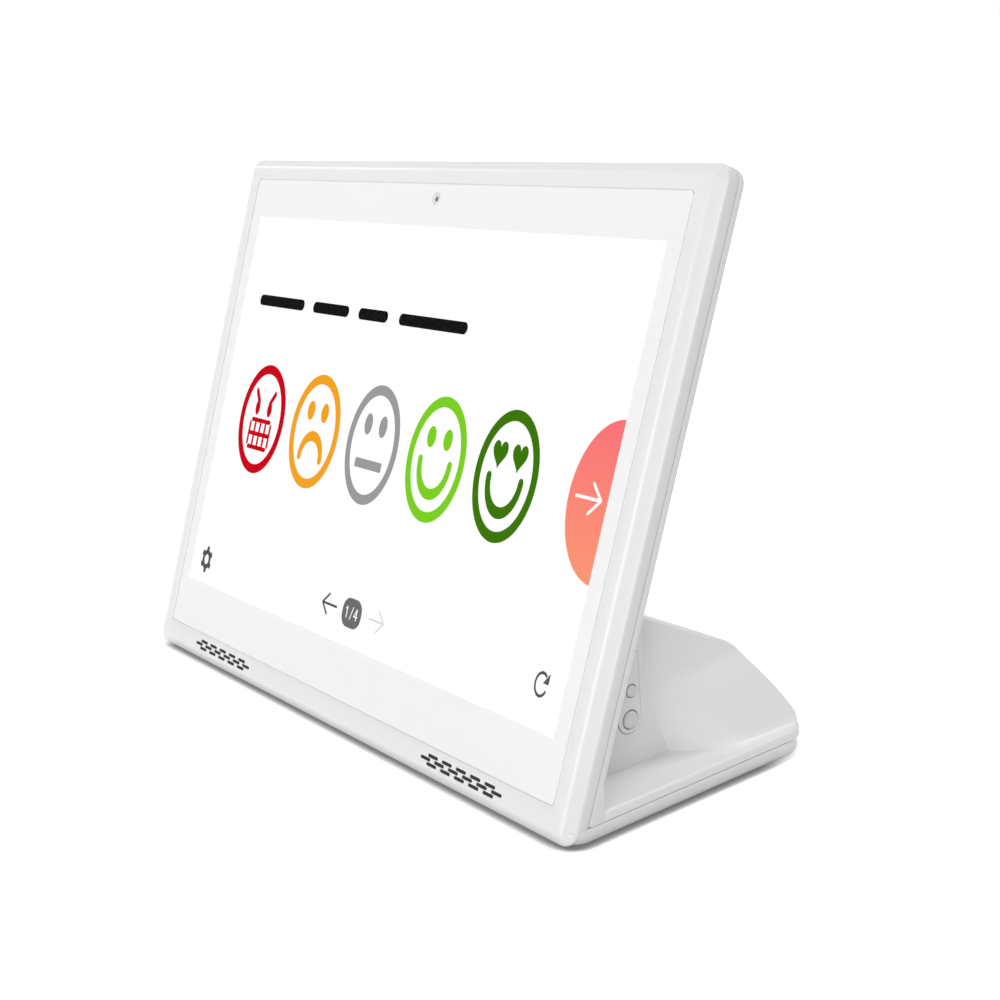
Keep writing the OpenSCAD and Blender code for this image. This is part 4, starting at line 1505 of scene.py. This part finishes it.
    def _webs(self, bench: Bench) -> None:
        """Builds the webs that close the corner between the panel's back and each shelf.

        Args:
            bench: the bench that finishes the pieces.
        """
        bm = bmesh.new()
        low, high = self.web_z
        lower, upper = self.web_bend
        deep, back = self.web_d
        outline = (
            (self.lean.behind(deep, low), low),
            (self.web_y, low),
            (self.web_y, lower),
            (self.web_y + self.web_lean, upper),
            (self.lean.behind(back, high), high),
            (self.lean.behind(deep, high), high),
        )
        run = self.half - self.web_clear - self.web_x
        rear = self.web_y - self.lean.shift - 0.01
        for side in SIDES:
            verts = [bm.verts.new((side * self.web_x, y - self.lean.shift, z)) for y, z in outline]
            _, ends = Bench.lift(bm, [bm.faces.new(verts)], Vector((side * run, 0.0, 0.0)))
            rim = [edge for edge in ends[0].edges if all(vert.co.y > rear for vert in edge.verts)]
            Bench.soften(bm, rim, self.web_r, 4)
        bench.piece(bm, "shelf_webs", WHITE_BEZEL_PAINTED_SHADE, replaces=("rear_cover",))

    def _ports(self) -> bmesh.types.BMesh:
        """The tool that cuts the holes of the buttons and sockets.

        Returns:
            The tool's mesh.
        """
        tool = bmesh.new()
        back = Vector((0.0, -self.lean.shift, 0.0))
        across = Matrix.Rotation(QUARTER, 4, "Y")
        for x, y, z, radius in self.holes:
            place = Matrix.Translation(Vector((x, y, z)) + back) @ across
            Bench.bore(tool, radius, (-3.0, 3.0), place, 36)
        place = Matrix.Translation(Vector(self.usb) + back) @ across
        Bench.prism(tool, Vector(self.usb_size), self.usb_r, place)
        return tool


class Mood(Enum):
    """The five common faces of a rating row."""

    FURIOUS = "furious"
    SAD = "sad"
    NEUTRAL = "neutral"
    GLAD = "glad"
    DELIGHTED = "delighted"


class Stencil:
    """Draws flat shapes, x across and y up, in one mesh.

    Attributes:
        ARC_STEP: degrees in a step of an arc.
        CAP: share of a stroke's width that is added to its length.
    """

    ARC_STEP = 6.0
    CAP = 0.8

    def __init__(self) -> None:
        """Starts an empty drawing."""
        self.bm = bmesh.new()

    def disc(self, x: float, y: float, wide: float, high: float, steps: int) -> None:
        """Adds a filled ellipse by its centre and half-sizes."""
        matrix = Matrix.Translation((x, y, 0.0)) @ Matrix.Diagonal((wide, high, 1.0, 1.0))
        bmesh.ops.create_circle(self.bm, cap_ends=True, segments=steps, radius=1.0, matrix=matrix)

    def pair(self, x: float, y: float, wide: float, high: float, steps: int) -> None:
        """Adds two filled ellipses, one on each side of the middle."""
        for side in SIDES:
            self.disc(side * x, y, wide, high, steps)

    def arc(self, x: float, y: float, inner: Vector, outer: Vector, start: float, end: float) -> None:
        """Adds a band between two ellipses.

        Args:
            x: centre.
            y: centre.
            inner: half-sizes of the inner ellipse.
            outer: half-sizes of the outer ellipse.
            start: first angle in degrees.
            end: last angle in degrees.
        """
        steps = max(6, round(abs(end - start) / self.ARC_STEP))
        made = bmesh.ops.create_grid(self.bm, x_segments=steps, y_segments=1, size=0.5)["verts"]
        for vert in made:
            angle = math.radians(start + (end - start) * (vert.co.x + 0.5))
            size = outer if vert.co.y > 0.0 else inner
            vert.co = Vector((x + size.x * math.cos(angle), y + size.y * math.sin(angle), 0.0))
        bmesh.ops.remove_doubles(self.bm, verts=made, dist=0.001)

    def bar(self, start: Vector, end: Vector, width: float, round_by: float = 0.48) -> None:
        """Adds a straight stroke with rounded ends.

        Args:
            start: one end.
            end: the other end.
            width: the stroke's width.
            round_by: corner radius as a share of the width.
        """
        run = end - start
        made = bmesh.ops.create_grid(self.bm, x_segments=1, y_segments=1, size=0.5)["verts"]
        length = run.length + width * self.CAP
        turn = Matrix.Rotation(math.atan2(run.y, run.x), 4, "Z")
        middle = (start + end) / 2.0
        sized = Matrix.Diagonal((length, width, 1.0, 1.0))
        place = Matrix.Translation((middle.x, middle.y, 0.0)) @ turn @ sized
        bmesh.ops.transform(self.bm, matrix=place, verts=made)
        Bench.soften(self.bm, made, min(width, length) * round_by, 5, "VERTICES")

    def heart(self, x: float, y: float, size: float) -> None:
        """Adds a filled heart.

        Args:
            x: centre.
            y: centre.
            size: half its width.
        """
        made = bmesh.ops.create_circle(self.bm, cap_ends=True, segments=36, radius=1.0)["verts"]
        for vert in made:
            angle = math.atan2(vert.co.x, vert.co.y)
            across = 16.0 * math.sin(angle) ** 3
            lobes = ((13.0, 1), (-5.0, 2), (-2.0, 3), (-1.0, 4))
            up = sum(part * math.cos(turns * angle) for part, turns in lobes)
            vert.co = Vector((x + across / 16.0 * size, y + (up + 2.5) / 16.0 * size, 0.0))

    def wedge(self, first: Vector, second: Vector, third: Vector) -> None:
        """Adds a filled triangle.

        Args:
            first: a corner.
            second: the next corner.
            third: the last corner.
        """
        made = bmesh.ops.create_circle(self.bm, cap_ends=True, segments=3, radius=1.0)["verts"]
        for vert, spot in zip(made, (first, second, third)):
            vert.co = Vector((spot.x, spot.y, 0.0))

    def scaled(self, x: float, y: float, wide: float, high: float) -> None:
        """Stretches the whole drawing and moves its middle to a place."""
        matrix = Matrix.Translation((x, y, 0.0)) @ Matrix.Diagonal((wide, high, 1.0, 1.0))
        bmesh.ops.transform(self.bm, matrix=matrix, verts=self.bm.verts[:])

    def lay(self, lean: Lean, depth: float, thick: float) -> bmesh.types.BMesh:
        """Gives the drawing a thickness and lays it on the panel.

        Args:
            lean: the panel's axes.
            depth: depth of its front.
            thick: its thickness.

        Returns:
            The mesh, in millimetres of the row frame.
        """
        for face in self.bm.faces:
            face.normal_update()
            if face.normal.z < 0.0:
                face.normal_flip()
        Bench.lift(self.bm, self.bm.faces[:], Vector((0.0, 0.0, thick)), keep=True)
        bmesh.ops.transform(self.bm, matrix=lean.matrix(depth + thick), verts=self.bm.verts[:])
        return self.bm


@dataclass
class Screen:
    """The cover glass, its white printed border, and the lit picture with its generic signs.

    Attributes:
        lean: the panel's axes.
        half: half the width of the glass.
        low: its lower edge.
        high: its upper edge.
        corner: radius of its corners.
        glass_d: depth of its middle.
        glass_t: its thickness.
        glass_edge: rounding of its edges.
        print_d: depth of the printed border's front.
        print_back: depth of the border's back.
        print_gap: how far the border stays inside the glass.
        picture_half: half the width of the picture.
        picture_low: its lower edge.
        picture_high: its upper edge.
        picture_r: radius of its corners.
        picture_d: depth of its middle.
        picture_t: its thickness.
        camera_v: height of the camera.
        camera_r: radius of the camera's hole in the border.
        ring_d: depth of the ring round the lens.
        ring: section of that ring.
        dome_d: depth of the lens's top.
        dome: section of the lens.
        sign_d: depth of a sign's front.
        sign_t: its thickness.
        over_d: how much nearer a sign lies that is on another one.
        face_high: half the height of a face.
        count_strokes: both ends and the width of each stroke of the page count.
        heading: start and end of each heading stroke.
        heading_v: height of the heading.
        heading_w: width of its strokes.
    """

    lean: Lean
    half: float = 114.3
    low: float = 10.3
    high: float = 176.2
    corner: float = 1.3
    glass_d: float = 0.13
    glass_t: float = 0.06
    glass_edge: float = 0.02
    print_d: float = 0.18
    print_back: float = 1.19
    print_gap: float = 0.05
    picture_half: float = 108.5
    picture_low: float = 27.4
    picture_high: float = 163.0
    picture_r: float = 0.3
    picture_d: float = 0.71
    picture_t: float = 0.94
    camera_v: float = 171.7
    camera_r: float = 2.1
    ring_d: float = 0.25
    ring: tuple[Spot, ...] = (
        (0.8, -0.5),
        (2.08, -0.5),
        (2.08, 0.0),
        (1.98, 0.06),
        (1.3, 0.06),
        (0.95, -0.06),
        (0.8, -0.2),
        (0.8, -0.5),
    )
    dome_d: float = 0.35
    dome: tuple[Spot, ...] = (
        (0.0, -0.3),
        (0.79, -0.3),
        (0.79, -0.12),
        (0.6, -0.05),
        (0.3, -0.01),
        (0.0, 0.0),
    )
    sign_d: float = 0.2
    sign_t: float = 0.02
    over_d: float = 0.03
    face_high: float = 19.5
    count_strokes: tuple[tuple[Spot, Spot, float], ...] = (
        ((-1.1, 36.6), (-1.1, 40.0), 0.5),
        ((-1.8, 39.4), (-1.2, 40.0), 0.45),
        ((1.0, 36.3), (2.2, 40.3), 0.42),
        ((4.5, 36.6), (4.5, 40.0), 0.5),
        ((3.2, 37.6), (5.0, 37.6), 0.45),
        ((3.2, 37.6), (4.4, 40.0), 0.45),
    )
    heading: tuple[Spot, ...] = ((-95.0, -67.0), (-58.0, -38.0), (-29.0, -14.5), (-5.0, 29.0))
    heading_v: float = 133.2
    heading_w: float = 3.8

    def _up(self, v: float, depth: float) -> Matrix:
        """A place on the panel's middle line, at a height and a depth."""
        return self.lean.matrix(depth) @ Matrix.Translation((0.0, v, 0.0))

    def _glass(self, bench: Bench) -> None:
        """Builds the glass.

        Args:
            bench: the bench that finishes the piece.
        """
        bm = bmesh.new()
        size = Vector((2.0 * self.half, self.high - self.low, self.glass_t))
        Bench.prism(bm, size, self.corner, self._up((self.low + self.high) / 2.0, self.glass_d), 8)
        edges = [edge for edge in bm.edges if len(edge.link_faces) == 2 and edge.calc_face_angle(0.0) > 1.0]
        Bench.soften(bm, edges, self.glass_edge, 2)
        bench.piece(bm, "cover_glass", CLEAR_GLASS, replaces=("touch_glass",))

    def _border(self, bench: Bench) -> None:
        """Builds the printed border behind the glass, and the camera in it.

        Args:
            bench: the bench that finishes the pieces.
        """
        gap, corner, loops = self.print_gap, self.corner, []
        outer = self.half - gap, self.low + gap, self.high - gap, corner, corner
        inner = self.picture_half, self.picture_low, self.picture_high, self.picture_r, self.picture_r
        for depth in (self.print_d, self.print_back):
            loops.append(Loop(*outer, depth, depth))
        for depth in (self.print_back, self.print_d):
            loops.append(Loop(*inner, depth, depth))
        bm = Bench.band(loops, lambda spot: self.lean.at(*spot), True)
        border = bench.piece(bm, "glass_border", PRINT_WHITE, replaces=("touch_glass",))
        tool = bmesh.new()
        Bench.bore(tool, self.camera_r, (-1.0, 1.0), self._up(self.camera_v, 1.0), 40)
        bench.carve(border, tool)
        bm = bmesh.new()
        Bench.lathe(bm, self.ring, self._up(self.camera_v, self.ring_d))
        bench.piece(bm, "camera_ring", RING_GREY)
        bm = bmesh.new()
        Bench.lathe(bm, self.dome, self._up(self.camera_v, self.dome_d))
        bench.piece(bm, "camera_window", CAD_FINISHES["lens_glass"])

    def _picture(self, bench: Bench) -> None:
        """Builds the lit white picture.

        Args:
            bench: the bench that finishes the piece.
        """
        bm = bmesh.new()
        place = self._up((self.picture_low + self.picture_high) / 2.0, self.picture_d)
        wide, high = 2.0 * self.picture_half - 0.01, self.picture_high - self.picture_low - 0.01
        Bench.prism(bm, Vector((wide, high, self.picture_t)), self.picture_r, place)
        white = lit("picture_white", (255, 255, 255), (254, 254, 254), glow=1.05)
        bench.piece(bm, "picture", white)

    def _sign(self, bench: Bench, art: Stencil, name: str, finish: Finish, over: float = 0.0) -> None:
        """Lays one drawing on the picture, or over another sign."""
        bench.piece(art.lay(self.lean, self.sign_d - over, self.sign_t), name, finish)

    def _face(self, bench: Bench, mood: Mood, x: float, v: float, wide: float, finish: Finish) -> None:
        """Draws one face of the rating row.

        Args:
            bench: the bench that finishes the piece.
            mood: which face.
            x: its middle, across.
            v: its middle, up.
            wide: half its width.
            finish: its colour.
        """
        art = Stencil()
        art.arc(0.0, 0.0, Vector((0.81, 0.83)), Vector((1.0, 1.0)), 0.0, 360.0)
        if mood is Mood.FURIOUS:
            for side in SIDES:
                art.bar(Vector((side * 0.42, 0.5)), Vector((side * 0.24, 0.3)), 0.11)
                art.disc(side * 0.27, 0.2, 0.1, 0.14, 20)
            for level in (-0.03, -0.28, -0.53):
                art.bar(Vector((-0.4, level)), Vector((0.4, level)), 0.08)
            for across in (-0.46, -0.23, 0.0, 0.23, 0.46):
                art.bar(Vector((across, -0.47)), Vector((across, -0.09)), 0.08)
        elif mood is Mood.SAD:
            art.pair(0.29, 0.35, 0.15, 0.17, 24)
            art.arc(0.0, -0.47, Vector((0.36, 0.3)), Vector((0.52, 0.48)), 0.0, 180.0)
            art.pair(0.44, -0.47, 0.08, 0.07, 16)
        elif mood is Mood.NEUTRAL:
            art.pair(0.29, 0.33, 0.15, 0.18, 24)
            art.bar(Vector((-0.46, -0.33)), Vector((0.46, -0.33)), 0.16, 0.2)
        else:
            if mood is Mood.GLAD:
                art.pair(0.29, 0.34, 0.15, 0.17, 24)
            else:
                for side in SIDES:
                    art.heart(side * 0.32, 0.29, 0.24)
            art.arc(0.0, -0.04, Vector((0.44, 0.42)), Vector((0.6, 0.6)), 180.0, 360.0)
            art.pair(0.52, -0.04, 0.08, 0.07, 16)
        art.scaled(x, v, wide, self.face_high)
        self._sign(bench, art, f"face_{mood.value}", finish)

    def _faces(self, bench: Bench) -> None:
        """Draws the rating row.

        Args:
            bench: the bench that finishes the pieces.
        """
        row = (
            (Mood.FURIOUS, -78.9, 91.4, 15.3, lit("face_red", (205, 4, 22))),
            (Mood.SAD, -42.7, 91.8, 15.2, lit("face_orange", (248, 166, 33))),
            (Mood.NEUTRAL, -6.9, 92.2, 14.7, lit("face_grey", (158, 158, 158))),
            (Mood.GLAD, 28.5, 92.7, 14.8, lit("face_light_green", (125, 211, 33))),
            (Mood.DELIGHTED, 63.5, 93.0, 14.5, lit("face_dark_green", (60, 120, 5))),
        )
        for mood, x, v, wide, finish in row:
            self._face(bench, mood, x, v, wide, finish)

    def _tab(self, bench: Bench) -> None:
        """Draws the round tab at the picture's right edge with its arrow.

        Args:
            bench: the bench that finishes the pieces.
        """
        art = Stencil()
        art.disc(109.6, 92.8, 17.3, 22.7, 96)
        bmesh.ops.bisect_plane(
            art.bm,
            geom=art.bm.verts[:] + art.bm.edges[:] + art.bm.faces[:],
            plane_co=(self.picture_half - 0.05, 0.0, 0.0),
            plane_no=(1.0, 0.0, 0.0),
            clear_outer=True,
        )
        glow = lit("tab_salmon", (255, 158, 116), (255, 116, 122), Grain.FADED)
        self._sign(bench, art, "next_tab", glow)
        art = Stencil()
        self._arrow(art, 100.6, 92.9, 5.2, 4.2, 0.95, 1.0)
        self._sign(bench, art, "next_arrow", SIGN_WHITE, self.over_d)

    @staticmethod
    def _arrow(art: Stencil, x: float, y: float, half: float, head: float, width: float, way: float) -> None:
        """Draws an arrow.

        Args:
            art: the drawing.
            x: its middle.
            y: its middle.
            half: half its length.
            head: length of the barbs across.
            width: the stroke's width.
            way: 1 to the right, -1 to the left.
        """
        tip = Vector((x + way * half, y))
        art.bar(Vector((x - way * half, y)), tip, width)
        for side in SIDES:
            art.bar(tip - Vector((way * head, side * head)), tip, width)

    def _signs(self, bench: Bench) -> None:
        """Draws the small signs along the picture's lower edge, and the heading strokes.

        Args:
            bench: the bench that finishes the pieces.
        """
        dark = lit("sign_dark", (88, 88, 90))
        art = Stencil()
        art.arc(0.0, 0.0, Vector((0.4, 0.4)), Vector((0.8, 0.8)), 0.0, 360.0)
        for tooth in range(6):
            angle = math.radians(30.0 + 60.0 * tooth)
            ray = Vector((math.cos(angle), math.sin(angle)))
            art.bar(ray * 0.72, ray * 0.88, 0.46, 0.3)
        art.scaled(-98.0, 36.4, 3.7, 4.6)
        self._sign(bench, art, "settings_gear", dark)
        art = Stencil()
        self._arrow(art, -11.9, 38.4, 4.3, 3.4, 0.8, -1.0)
        self._sign(bench, art, "back_arrow", dark)
        art = Stencil()
        self._arrow(art, 15.9, 38.9, 4.1, 3.4, 0.6, 1.0)
        self._sign(bench, art, "forward_arrow", lit("sign_pale", (222, 222, 223)))
        art = Stencil()
        art.bar(Vector((-0.05, 38.3)), Vector((3.35, 38.3)), 9.6, 0.4)
        self._sign(bench, art, "page_badge", lit("sign_badge", (112, 112, 114)))
        art = Stencil()
        for start, end, width in self.count_strokes:
            art.bar(Vector(start), Vector(end), width, 0.2)
        self._sign(bench, art, "page_count", SIGN_WHITE, self.over_d)
        art = Stencil()
        art.arc(0.0, 0.0, Vector((0.74, 0.74)), Vector((0.98, 0.98)), 48.0, 335.0)
        art.wedge(Vector((1.0, 1.0)), Vector((1.0, 0.12)), Vector((0.2, 0.12)))
        art.scaled(98.6, 40.2, 3.0, 3.8)
        self._sign(bench, art, "again_arrow", dark)
        art = Stencil()
        for start, end in self.heading:
            art.bar(Vector((start, self.heading_v)), Vector((end, self.heading_v)), self.heading_w)
        self._sign(bench, art, "heading_strokes", lit("sign_black", (20, 20, 22)))

    def build(self, bench: Bench) -> None:
        """Builds the glass, the picture and all its signs.

        Args:
            bench: the bench that finishes the pieces.
        """
        self._glass(bench)
        self._border(bench)
        self._picture(bench)
        self._faces(bench)
        self._tab(bench)
        self._signs(bench)


@dataclass
class SideKeys:
    """The two push buttons on the right-hand pocket wall and their trim plate.

    Attributes:
        lean: the panel's axes.
        wall_x: how far out the pocket wall lies.
        root_x: where a button starts behind it.
        tip_x: how far out a button reaches.
        edge_r: rounding of a button's edge.
        power: place of the power button.
        power_r: its radius.
        power_hole: radius of its hole in the plate.
        function: place of the function button.
        function_r: its radius.
        function_hole: radius of its hole in the plate.
        plate_end: place of the plate's narrow end.
        plate_r: radius of its wide end.
        end_r: radius of its narrow end.
        plate_t: its thickness.
        plate_edge: rounding of its edge.
        sink: how far it goes into the wall.
        gap: width and thickness of the dark ring round it, painted shade for the shadow line at its edge.
    """

    lean: Lean
    wall_x: float = 108.0
    root_x: float = 106.4
    tip_x: float = 109.0
    edge_r: float = 0.45
    power: Spot = (37.9, 22.3)
    power_r: float = 2.58
    power_hole: float = 3.0
    function: Spot = (38.7, 30.8)
    function_r: float = 1.72
    function_hole: float = 2.1
    plate_end: Spot = (40.6, 41.0)
    plate_r: float = 4.2
    end_r: float = 1.1
    plate_t: float = 0.4
    plate_edge: float = 0.2
    sink: float = 0.05
    gap: Spot = (0.3, 0.03)

    def _at(self, x: float, spot: Spot) -> Matrix:
        """Turns an axis along the third to point out of the wall at a spot."""
        place = Matrix.Translation((x, spot[0] - self.lean.shift, spot[1]))
        return place @ Matrix.Rotation(QUARTER, 4, "Y")

    def _key(self, bench: Bench, name: str, body: str, node: str, spot: Spot, radius: float) -> None:
        """Builds one button.

        Args:
            bench: the bench that finishes the piece.
            name: the piece's name.
            body: the body that it rides on.
            node: the construction node that it stands for.
            spot: where it is on the wall.
            radius: its radius.
        """
        bm = bmesh.new()
        rise, edge = self.tip_x - self.root_x, self.edge_r
        outline = [(0.0, 0.0), (radius, 0.0), (radius, rise - edge)]
        for step in range(1, 6):
            angle = QUARTER * step / 5.0
            outline.append((radius - edge + edge * math.cos(angle), rise - edge + edge * math.sin(angle)))
        for share, dip in ((0.66, 0.0), (0.5, 0.06), (0.25, 0.12), (0.0, 0.14)):
            outline.append((radius * share, rise - dip))
        Bench.lathe(bm, outline, self._at(self.root_x, spot), 48)
        bench.piece(bm, name, BUTTON_WHITE, body, (node,))

    def _drop(self, grow: float, thick: float) -> tuple[bmesh.types.BMesh, bmesh.types.BMFace]:
        """Makes the plate's tapering outline as a slab on the wall.

        Args:
            grow: how far the outline is grown.
            thick: how far the slab stands out of the wall.

        Returns:
            The mesh and its outer face.
        """
        bm = bmesh.new()
        big, small = Vector(self.power), Vector(self.plate_end)
        axis = small - big
        turn = (self.plate_r - self.end_r) / axis.length
        axis.normalize()
        for vert in bmesh.ops.create_circle(bm, cap_ends=True, segments=72, radius=1.0)["verts"]:
            ray = Vector((vert.co.x, vert.co.y))
            upper = ray.dot(axis) > turn
            spot = small + ray * (self.end_r + grow) if upper else big + ray * (self.plate_r + grow)
            vert.co = Vector((self.wall_x - self.sink, spot.x - self.lean.shift, spot.y))
        _, lids = Bench.lift(bm, bm.faces[:], Vector((thick + self.sink, 0.0, 0.0)))
        return bm, lids[0]

    def build(self, bench: Bench) -> None:
        """Builds both buttons and the plate.

        Args:
            bench: the bench that finishes the pieces.
        """
        self._key(bench, "power_cap", "power_key", "power_button", self.power, self.power_r)
        self._key(bench, "function_cap", "function_key", "function_button", self.function, self.function_r)
        # A dark grey ring just proud of the wall and larger than the plate: painted shade standing in for the
        # shadow line round the plate's edge.
        gap, _ = self._drop(*self.gap)
        bench.piece(gap, "key_plate_painted_shade", PLATE_PAINTED_SHADE, replaces=("button_plate",))
        bm, lid = self._drop(0.0, self.plate_t)
        Bench.soften(bm, list(lid.edges), self.plate_edge, 3)
        plate = bench.piece(bm, "key_plate", WHITE_COVER_PAINTED_LIGHT, replaces=("button_plate",))
        tool = bmesh.new()
        for spot, radius in ((self.power, self.power_hole), (self.function, self.function_hole)):
            Bench.bore(tool, radius, (-3.0, 3.0), self._at(self.wall_x, spot), 40)
        bench.carve(plate, tool)


@dataclass
class Feet:
    """The four rubber feet under the base.

    Attributes:
        lean: the panel's axes.
        spots: places on one side.
        radius: a foot's radius.
        height: its height.
    """

    lean: Lean
    spots: tuple[Spot, ...] = ((84.0, 16.0), (84.0, 80.0))
    radius: float = 7.0
    height: float = 1.0

    def build(self, bench: Bench) -> None:
        """Builds the feet.

        Args:
            bench: the bench that finishes the piece.
        """
        bm = bmesh.new()
        r = self.radius
        outline = (
            (0.0, 0.12),
            (r * 0.55, 0.12),
            (r * 0.62, 0.0),
            (r * 0.88, 0.0),
            (r * 0.96, 0.08),
            (r, 0.3),
            (r, self.height),
            (0.0, self.height),
        )
        for x, y in self.spots:
            for side in SIDES:
                Bench.lathe(bm, outline, Matrix.Translation((side * x, y - self.lean.shift, 0.0)), 44)
        bench.piece(bm, "feet", CAD_FINISHES["foot_rubber"], replaces=("rubber_feet",))


@dataclass
class Studio:
    """The camera, the floor and the light.

    Attributes:
        lean: the panel's axes.
        focal_px: focal length in pixels.
        pitch: how far the camera looks down.
        yaw: how far it is turned to the left.
        roll: how far it is tipped.
        place: where it is, in millimetres from the front edge.
        centre_row: the pixel row that it points at.
        frame_px: the picture's size.
        floor_half: half the floor's size in metres.
        floor_tone: the floor's own tone.
        floor_glow: the light that it gives the camera.
        shade_tone: tone of the shade under the base.
        shade_reach: how far that shade reaches, in metres.
        shade_span: openness at which it is full, and at which it ends.
        shade_left: x where it sets in, and where it is full.
        shade_rear: y where it starts to weaken, and where it is weakest.
        shade_least: what is left of it there.
        surround: the surround's light.
        lamps: name, aim, level and spread of each lamp.
    """

    lean: Lean
    focal_px: float = 1595.89
    pitch: float = math.radians(19.76)
    yaw: float = math.radians(54.20)
    roll: float = math.radians(-4.60)
    place: tuple[float, float, float] = (423.48, -231.94, 201.61)
    centre_row: float = 626.9
    frame_px: float = 1000.0
    floor_half: float = 30.0
    floor_tone: float = 0.9
    floor_glow: float = 0.7
    shade_tone: float = 0.16
    shade_reach: float = 0.0056
    shade_span: Spot = (0.64, 0.92)
    shade_left: Spot = (-122.0, -110.0)
    shade_rear: Spot = (24.0, 44.0)
    shade_least: float = 0.3
    surround: float = 0.385
    lamps: tuple[tuple[str, tuple[float, float, float], float, float], ...] = (
        ("right", (-0.45, 0.75, -0.35), 0.35, 34.0),
        ("left", (0.42, 0.87, -0.25), 0.22, 24.0),
        ("back", (-0.05, -0.5, -0.86), 0.28, 26.0),
        ("far_left", (0.85, 0.27, -0.45), 0.06, 16.0),
    )

    def camera(self) -> None:
        """Sets the camera to the photograph's viewing angle."""
        data = bpy.data.cameras.new("camera")
        data.sensor_width = 36.0
        data.lens = self.focal_px / self.frame_px * data.sensor_width
        data.shift_y = (self.centre_row - self.frame_px / 2.0) / self.frame_px
        data.clip_start = 0.01
        forward = Vector(
            (
                -math.sin(self.yaw) * math.cos(self.pitch),
                math.cos(self.yaw) * math.cos(self.pitch),
                -math.sin(self.pitch),
            )
        )
        right = Vector((math.cos(self.yaw), math.sin(self.yaw), 0.0))
        up = right.cross(forward)
        across = math.cos(self.roll) * right + math.sin(self.roll) * up
        rise = -math.sin(self.roll) * right + math.cos(self.roll) * up
        turn = Matrix((across, rise, -forward)).transposed().to_4x4()
        x, y, z = self.place
        made = bpy.data.objects.new("camera", data)
        made.matrix_world = Matrix.Translation(Vector((x, y - self.lean.shift, z)) * MM) @ turn
        bpy.context.scene.collection.objects.link(made)
        bpy.context.scene.camera = made

    @staticmethod
    def _ramp(tree: Tree, value: Value, span: Spot, ends: Spot) -> Value:
        """Eases a value over a span, from one end value to the other."""
        sockets = {0: value, 1: span[0], 2: span[1], 3: ends[0], 4: ends[1]}
        return tree.node("ShaderNodeMapRange", sockets, interpolation_type="SMOOTHSTEP")

    def floor(self) -> None:
        """Lays a wide pale floor that keeps the shadow."""
        bm = bmesh.new()
        bmesh.ops.create_grid(bm, x_segments=8, y_segments=8, size=self.floor_half)
        mesh = bpy.data.meshes.new("floor")
        bm.to_mesh(mesh)
        bm.free()
        made = bpy.data.objects.new("floor", mesh)
        bpy.context.scene.collection.objects.link(made)
        material = bpy.data.materials.new("floor_pale")
        tree = Tree(material)
        reach = {"Distance": self.shade_reach}
        close = tree.node("ShaderNodeAmbientOcclusion", reach, out="AO", samples=12)
        fade = self._ramp(tree, close, self.shade_span, (0.0, 1.0))
        place = tree.node("ShaderNodeTexCoord", out="Object")
        across = tree.node("ShaderNodeSeparateXYZ", {0: place}, out="X")
        along = tree.node("ShaderNodeSeparateXYZ", {0: place}, out="Y")
        first, full = self.shade_left
        begun = self._ramp(tree, across, (first * MM, full * MM), (0.0, 1.0))
        full, last = self.shade_rear
        left = self._ramp(tree, along, (full * MM, last * MM), (1.0, self.shade_least))
        fade = 1.0 - (1.0 - fade) * begun * left
        dark, pale = (*(self.shade_tone,) * 3, 1.0), (*(self.floor_tone,) * 3, 1.0)
        shade = tree.node("ShaderNodeMix", {0: fade, 6: dark, 7: pale}, 2, data_type="RGBA")
        plain = tree.node("ShaderNodeBsdfDiffuse", {"Color": shade})
        glow = tree.node("ShaderNodeEmission", {"Color": shade, "Strength": self.floor_glow})
        lifted = tree.node("ShaderNodeAddShader", {0: plain, 1: glow})
        tree.close(tree.node("ShaderNodeMixShader", {0: tree.seen(), 1: plain, 2: lifted}))
        mesh.materials.append(material)

    def light(self) -> None:
        """Sets the broad lamps and an even surround."""
        scene = bpy.context.scene
        scene.view_settings.view_transform = "Standard"
        world = bpy.data.worlds.new("surround")
        scene.world = world
        tree = Tree(world)
        white = (1.0, 1.0, 1.0, 1.0)
        even = tree.node("ShaderNodeBackground", {"Color": white, "Strength": self.surround})
        bright = tree.node("ShaderNodeBackground", {"Color": white, "Strength": 1.0})
        mixed = tree.node("ShaderNodeMixShader", {0: tree.seen(), 1: even, 2: bright})
        tree.close(mixed, "ShaderNodeOutputWorld")
        for name, aim, level, spread in self.lamps:
            lamp = bpy.data.lights.new(name, "SUN")
            lamp.energy = level * math.pi
            lamp.angle = math.radians(spread)
            made = bpy.data.objects.new(name, lamp)
            made.rotation_mode = "QUATERNION"
            made.rotation_quaternion = Vector(aim).to_track_quat("-Z", "Y")
            scene.collection.objects.link(made)


def dress_nodes(paint: PaintShop) -> None:
    """Gives each construction node that stays its finish.

    Args:
        paint: the paint shop.
    """
    for name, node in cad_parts.items():
        for holder in node.material_slots:
            slot = holder.material.name.split(".")[0] if holder.material else "shell_white"
            holder.material = paint.material(CAD_FINISHES.get(slot, WHITE_SHELL))
        LOG.info("node %s dressed", name)


def main() -> None:
    """Builds the terminal's looks in order."""
    logging.basicConfig(level=logging.INFO, format="%(name)s: %(message)s")
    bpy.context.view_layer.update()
    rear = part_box("rear_cover")[1].y / MM
    lean = Lean(TILT, BASE_DEPTH - rear)
    studio = Studio(lean)
    studio.camera()
    studio.floor()
    studio.light()
    paint = PaintShop()
    bench = Bench(paint)
    dress_nodes(paint)
    FrontShell(lean).build(bench)
    RearCover(lean).build(bench)
    Screen(lean).build(bench)
    SideKeys(lean).build(bench)
    Feet(lean).build(bench)


if __name__ == "__main__":
    main()
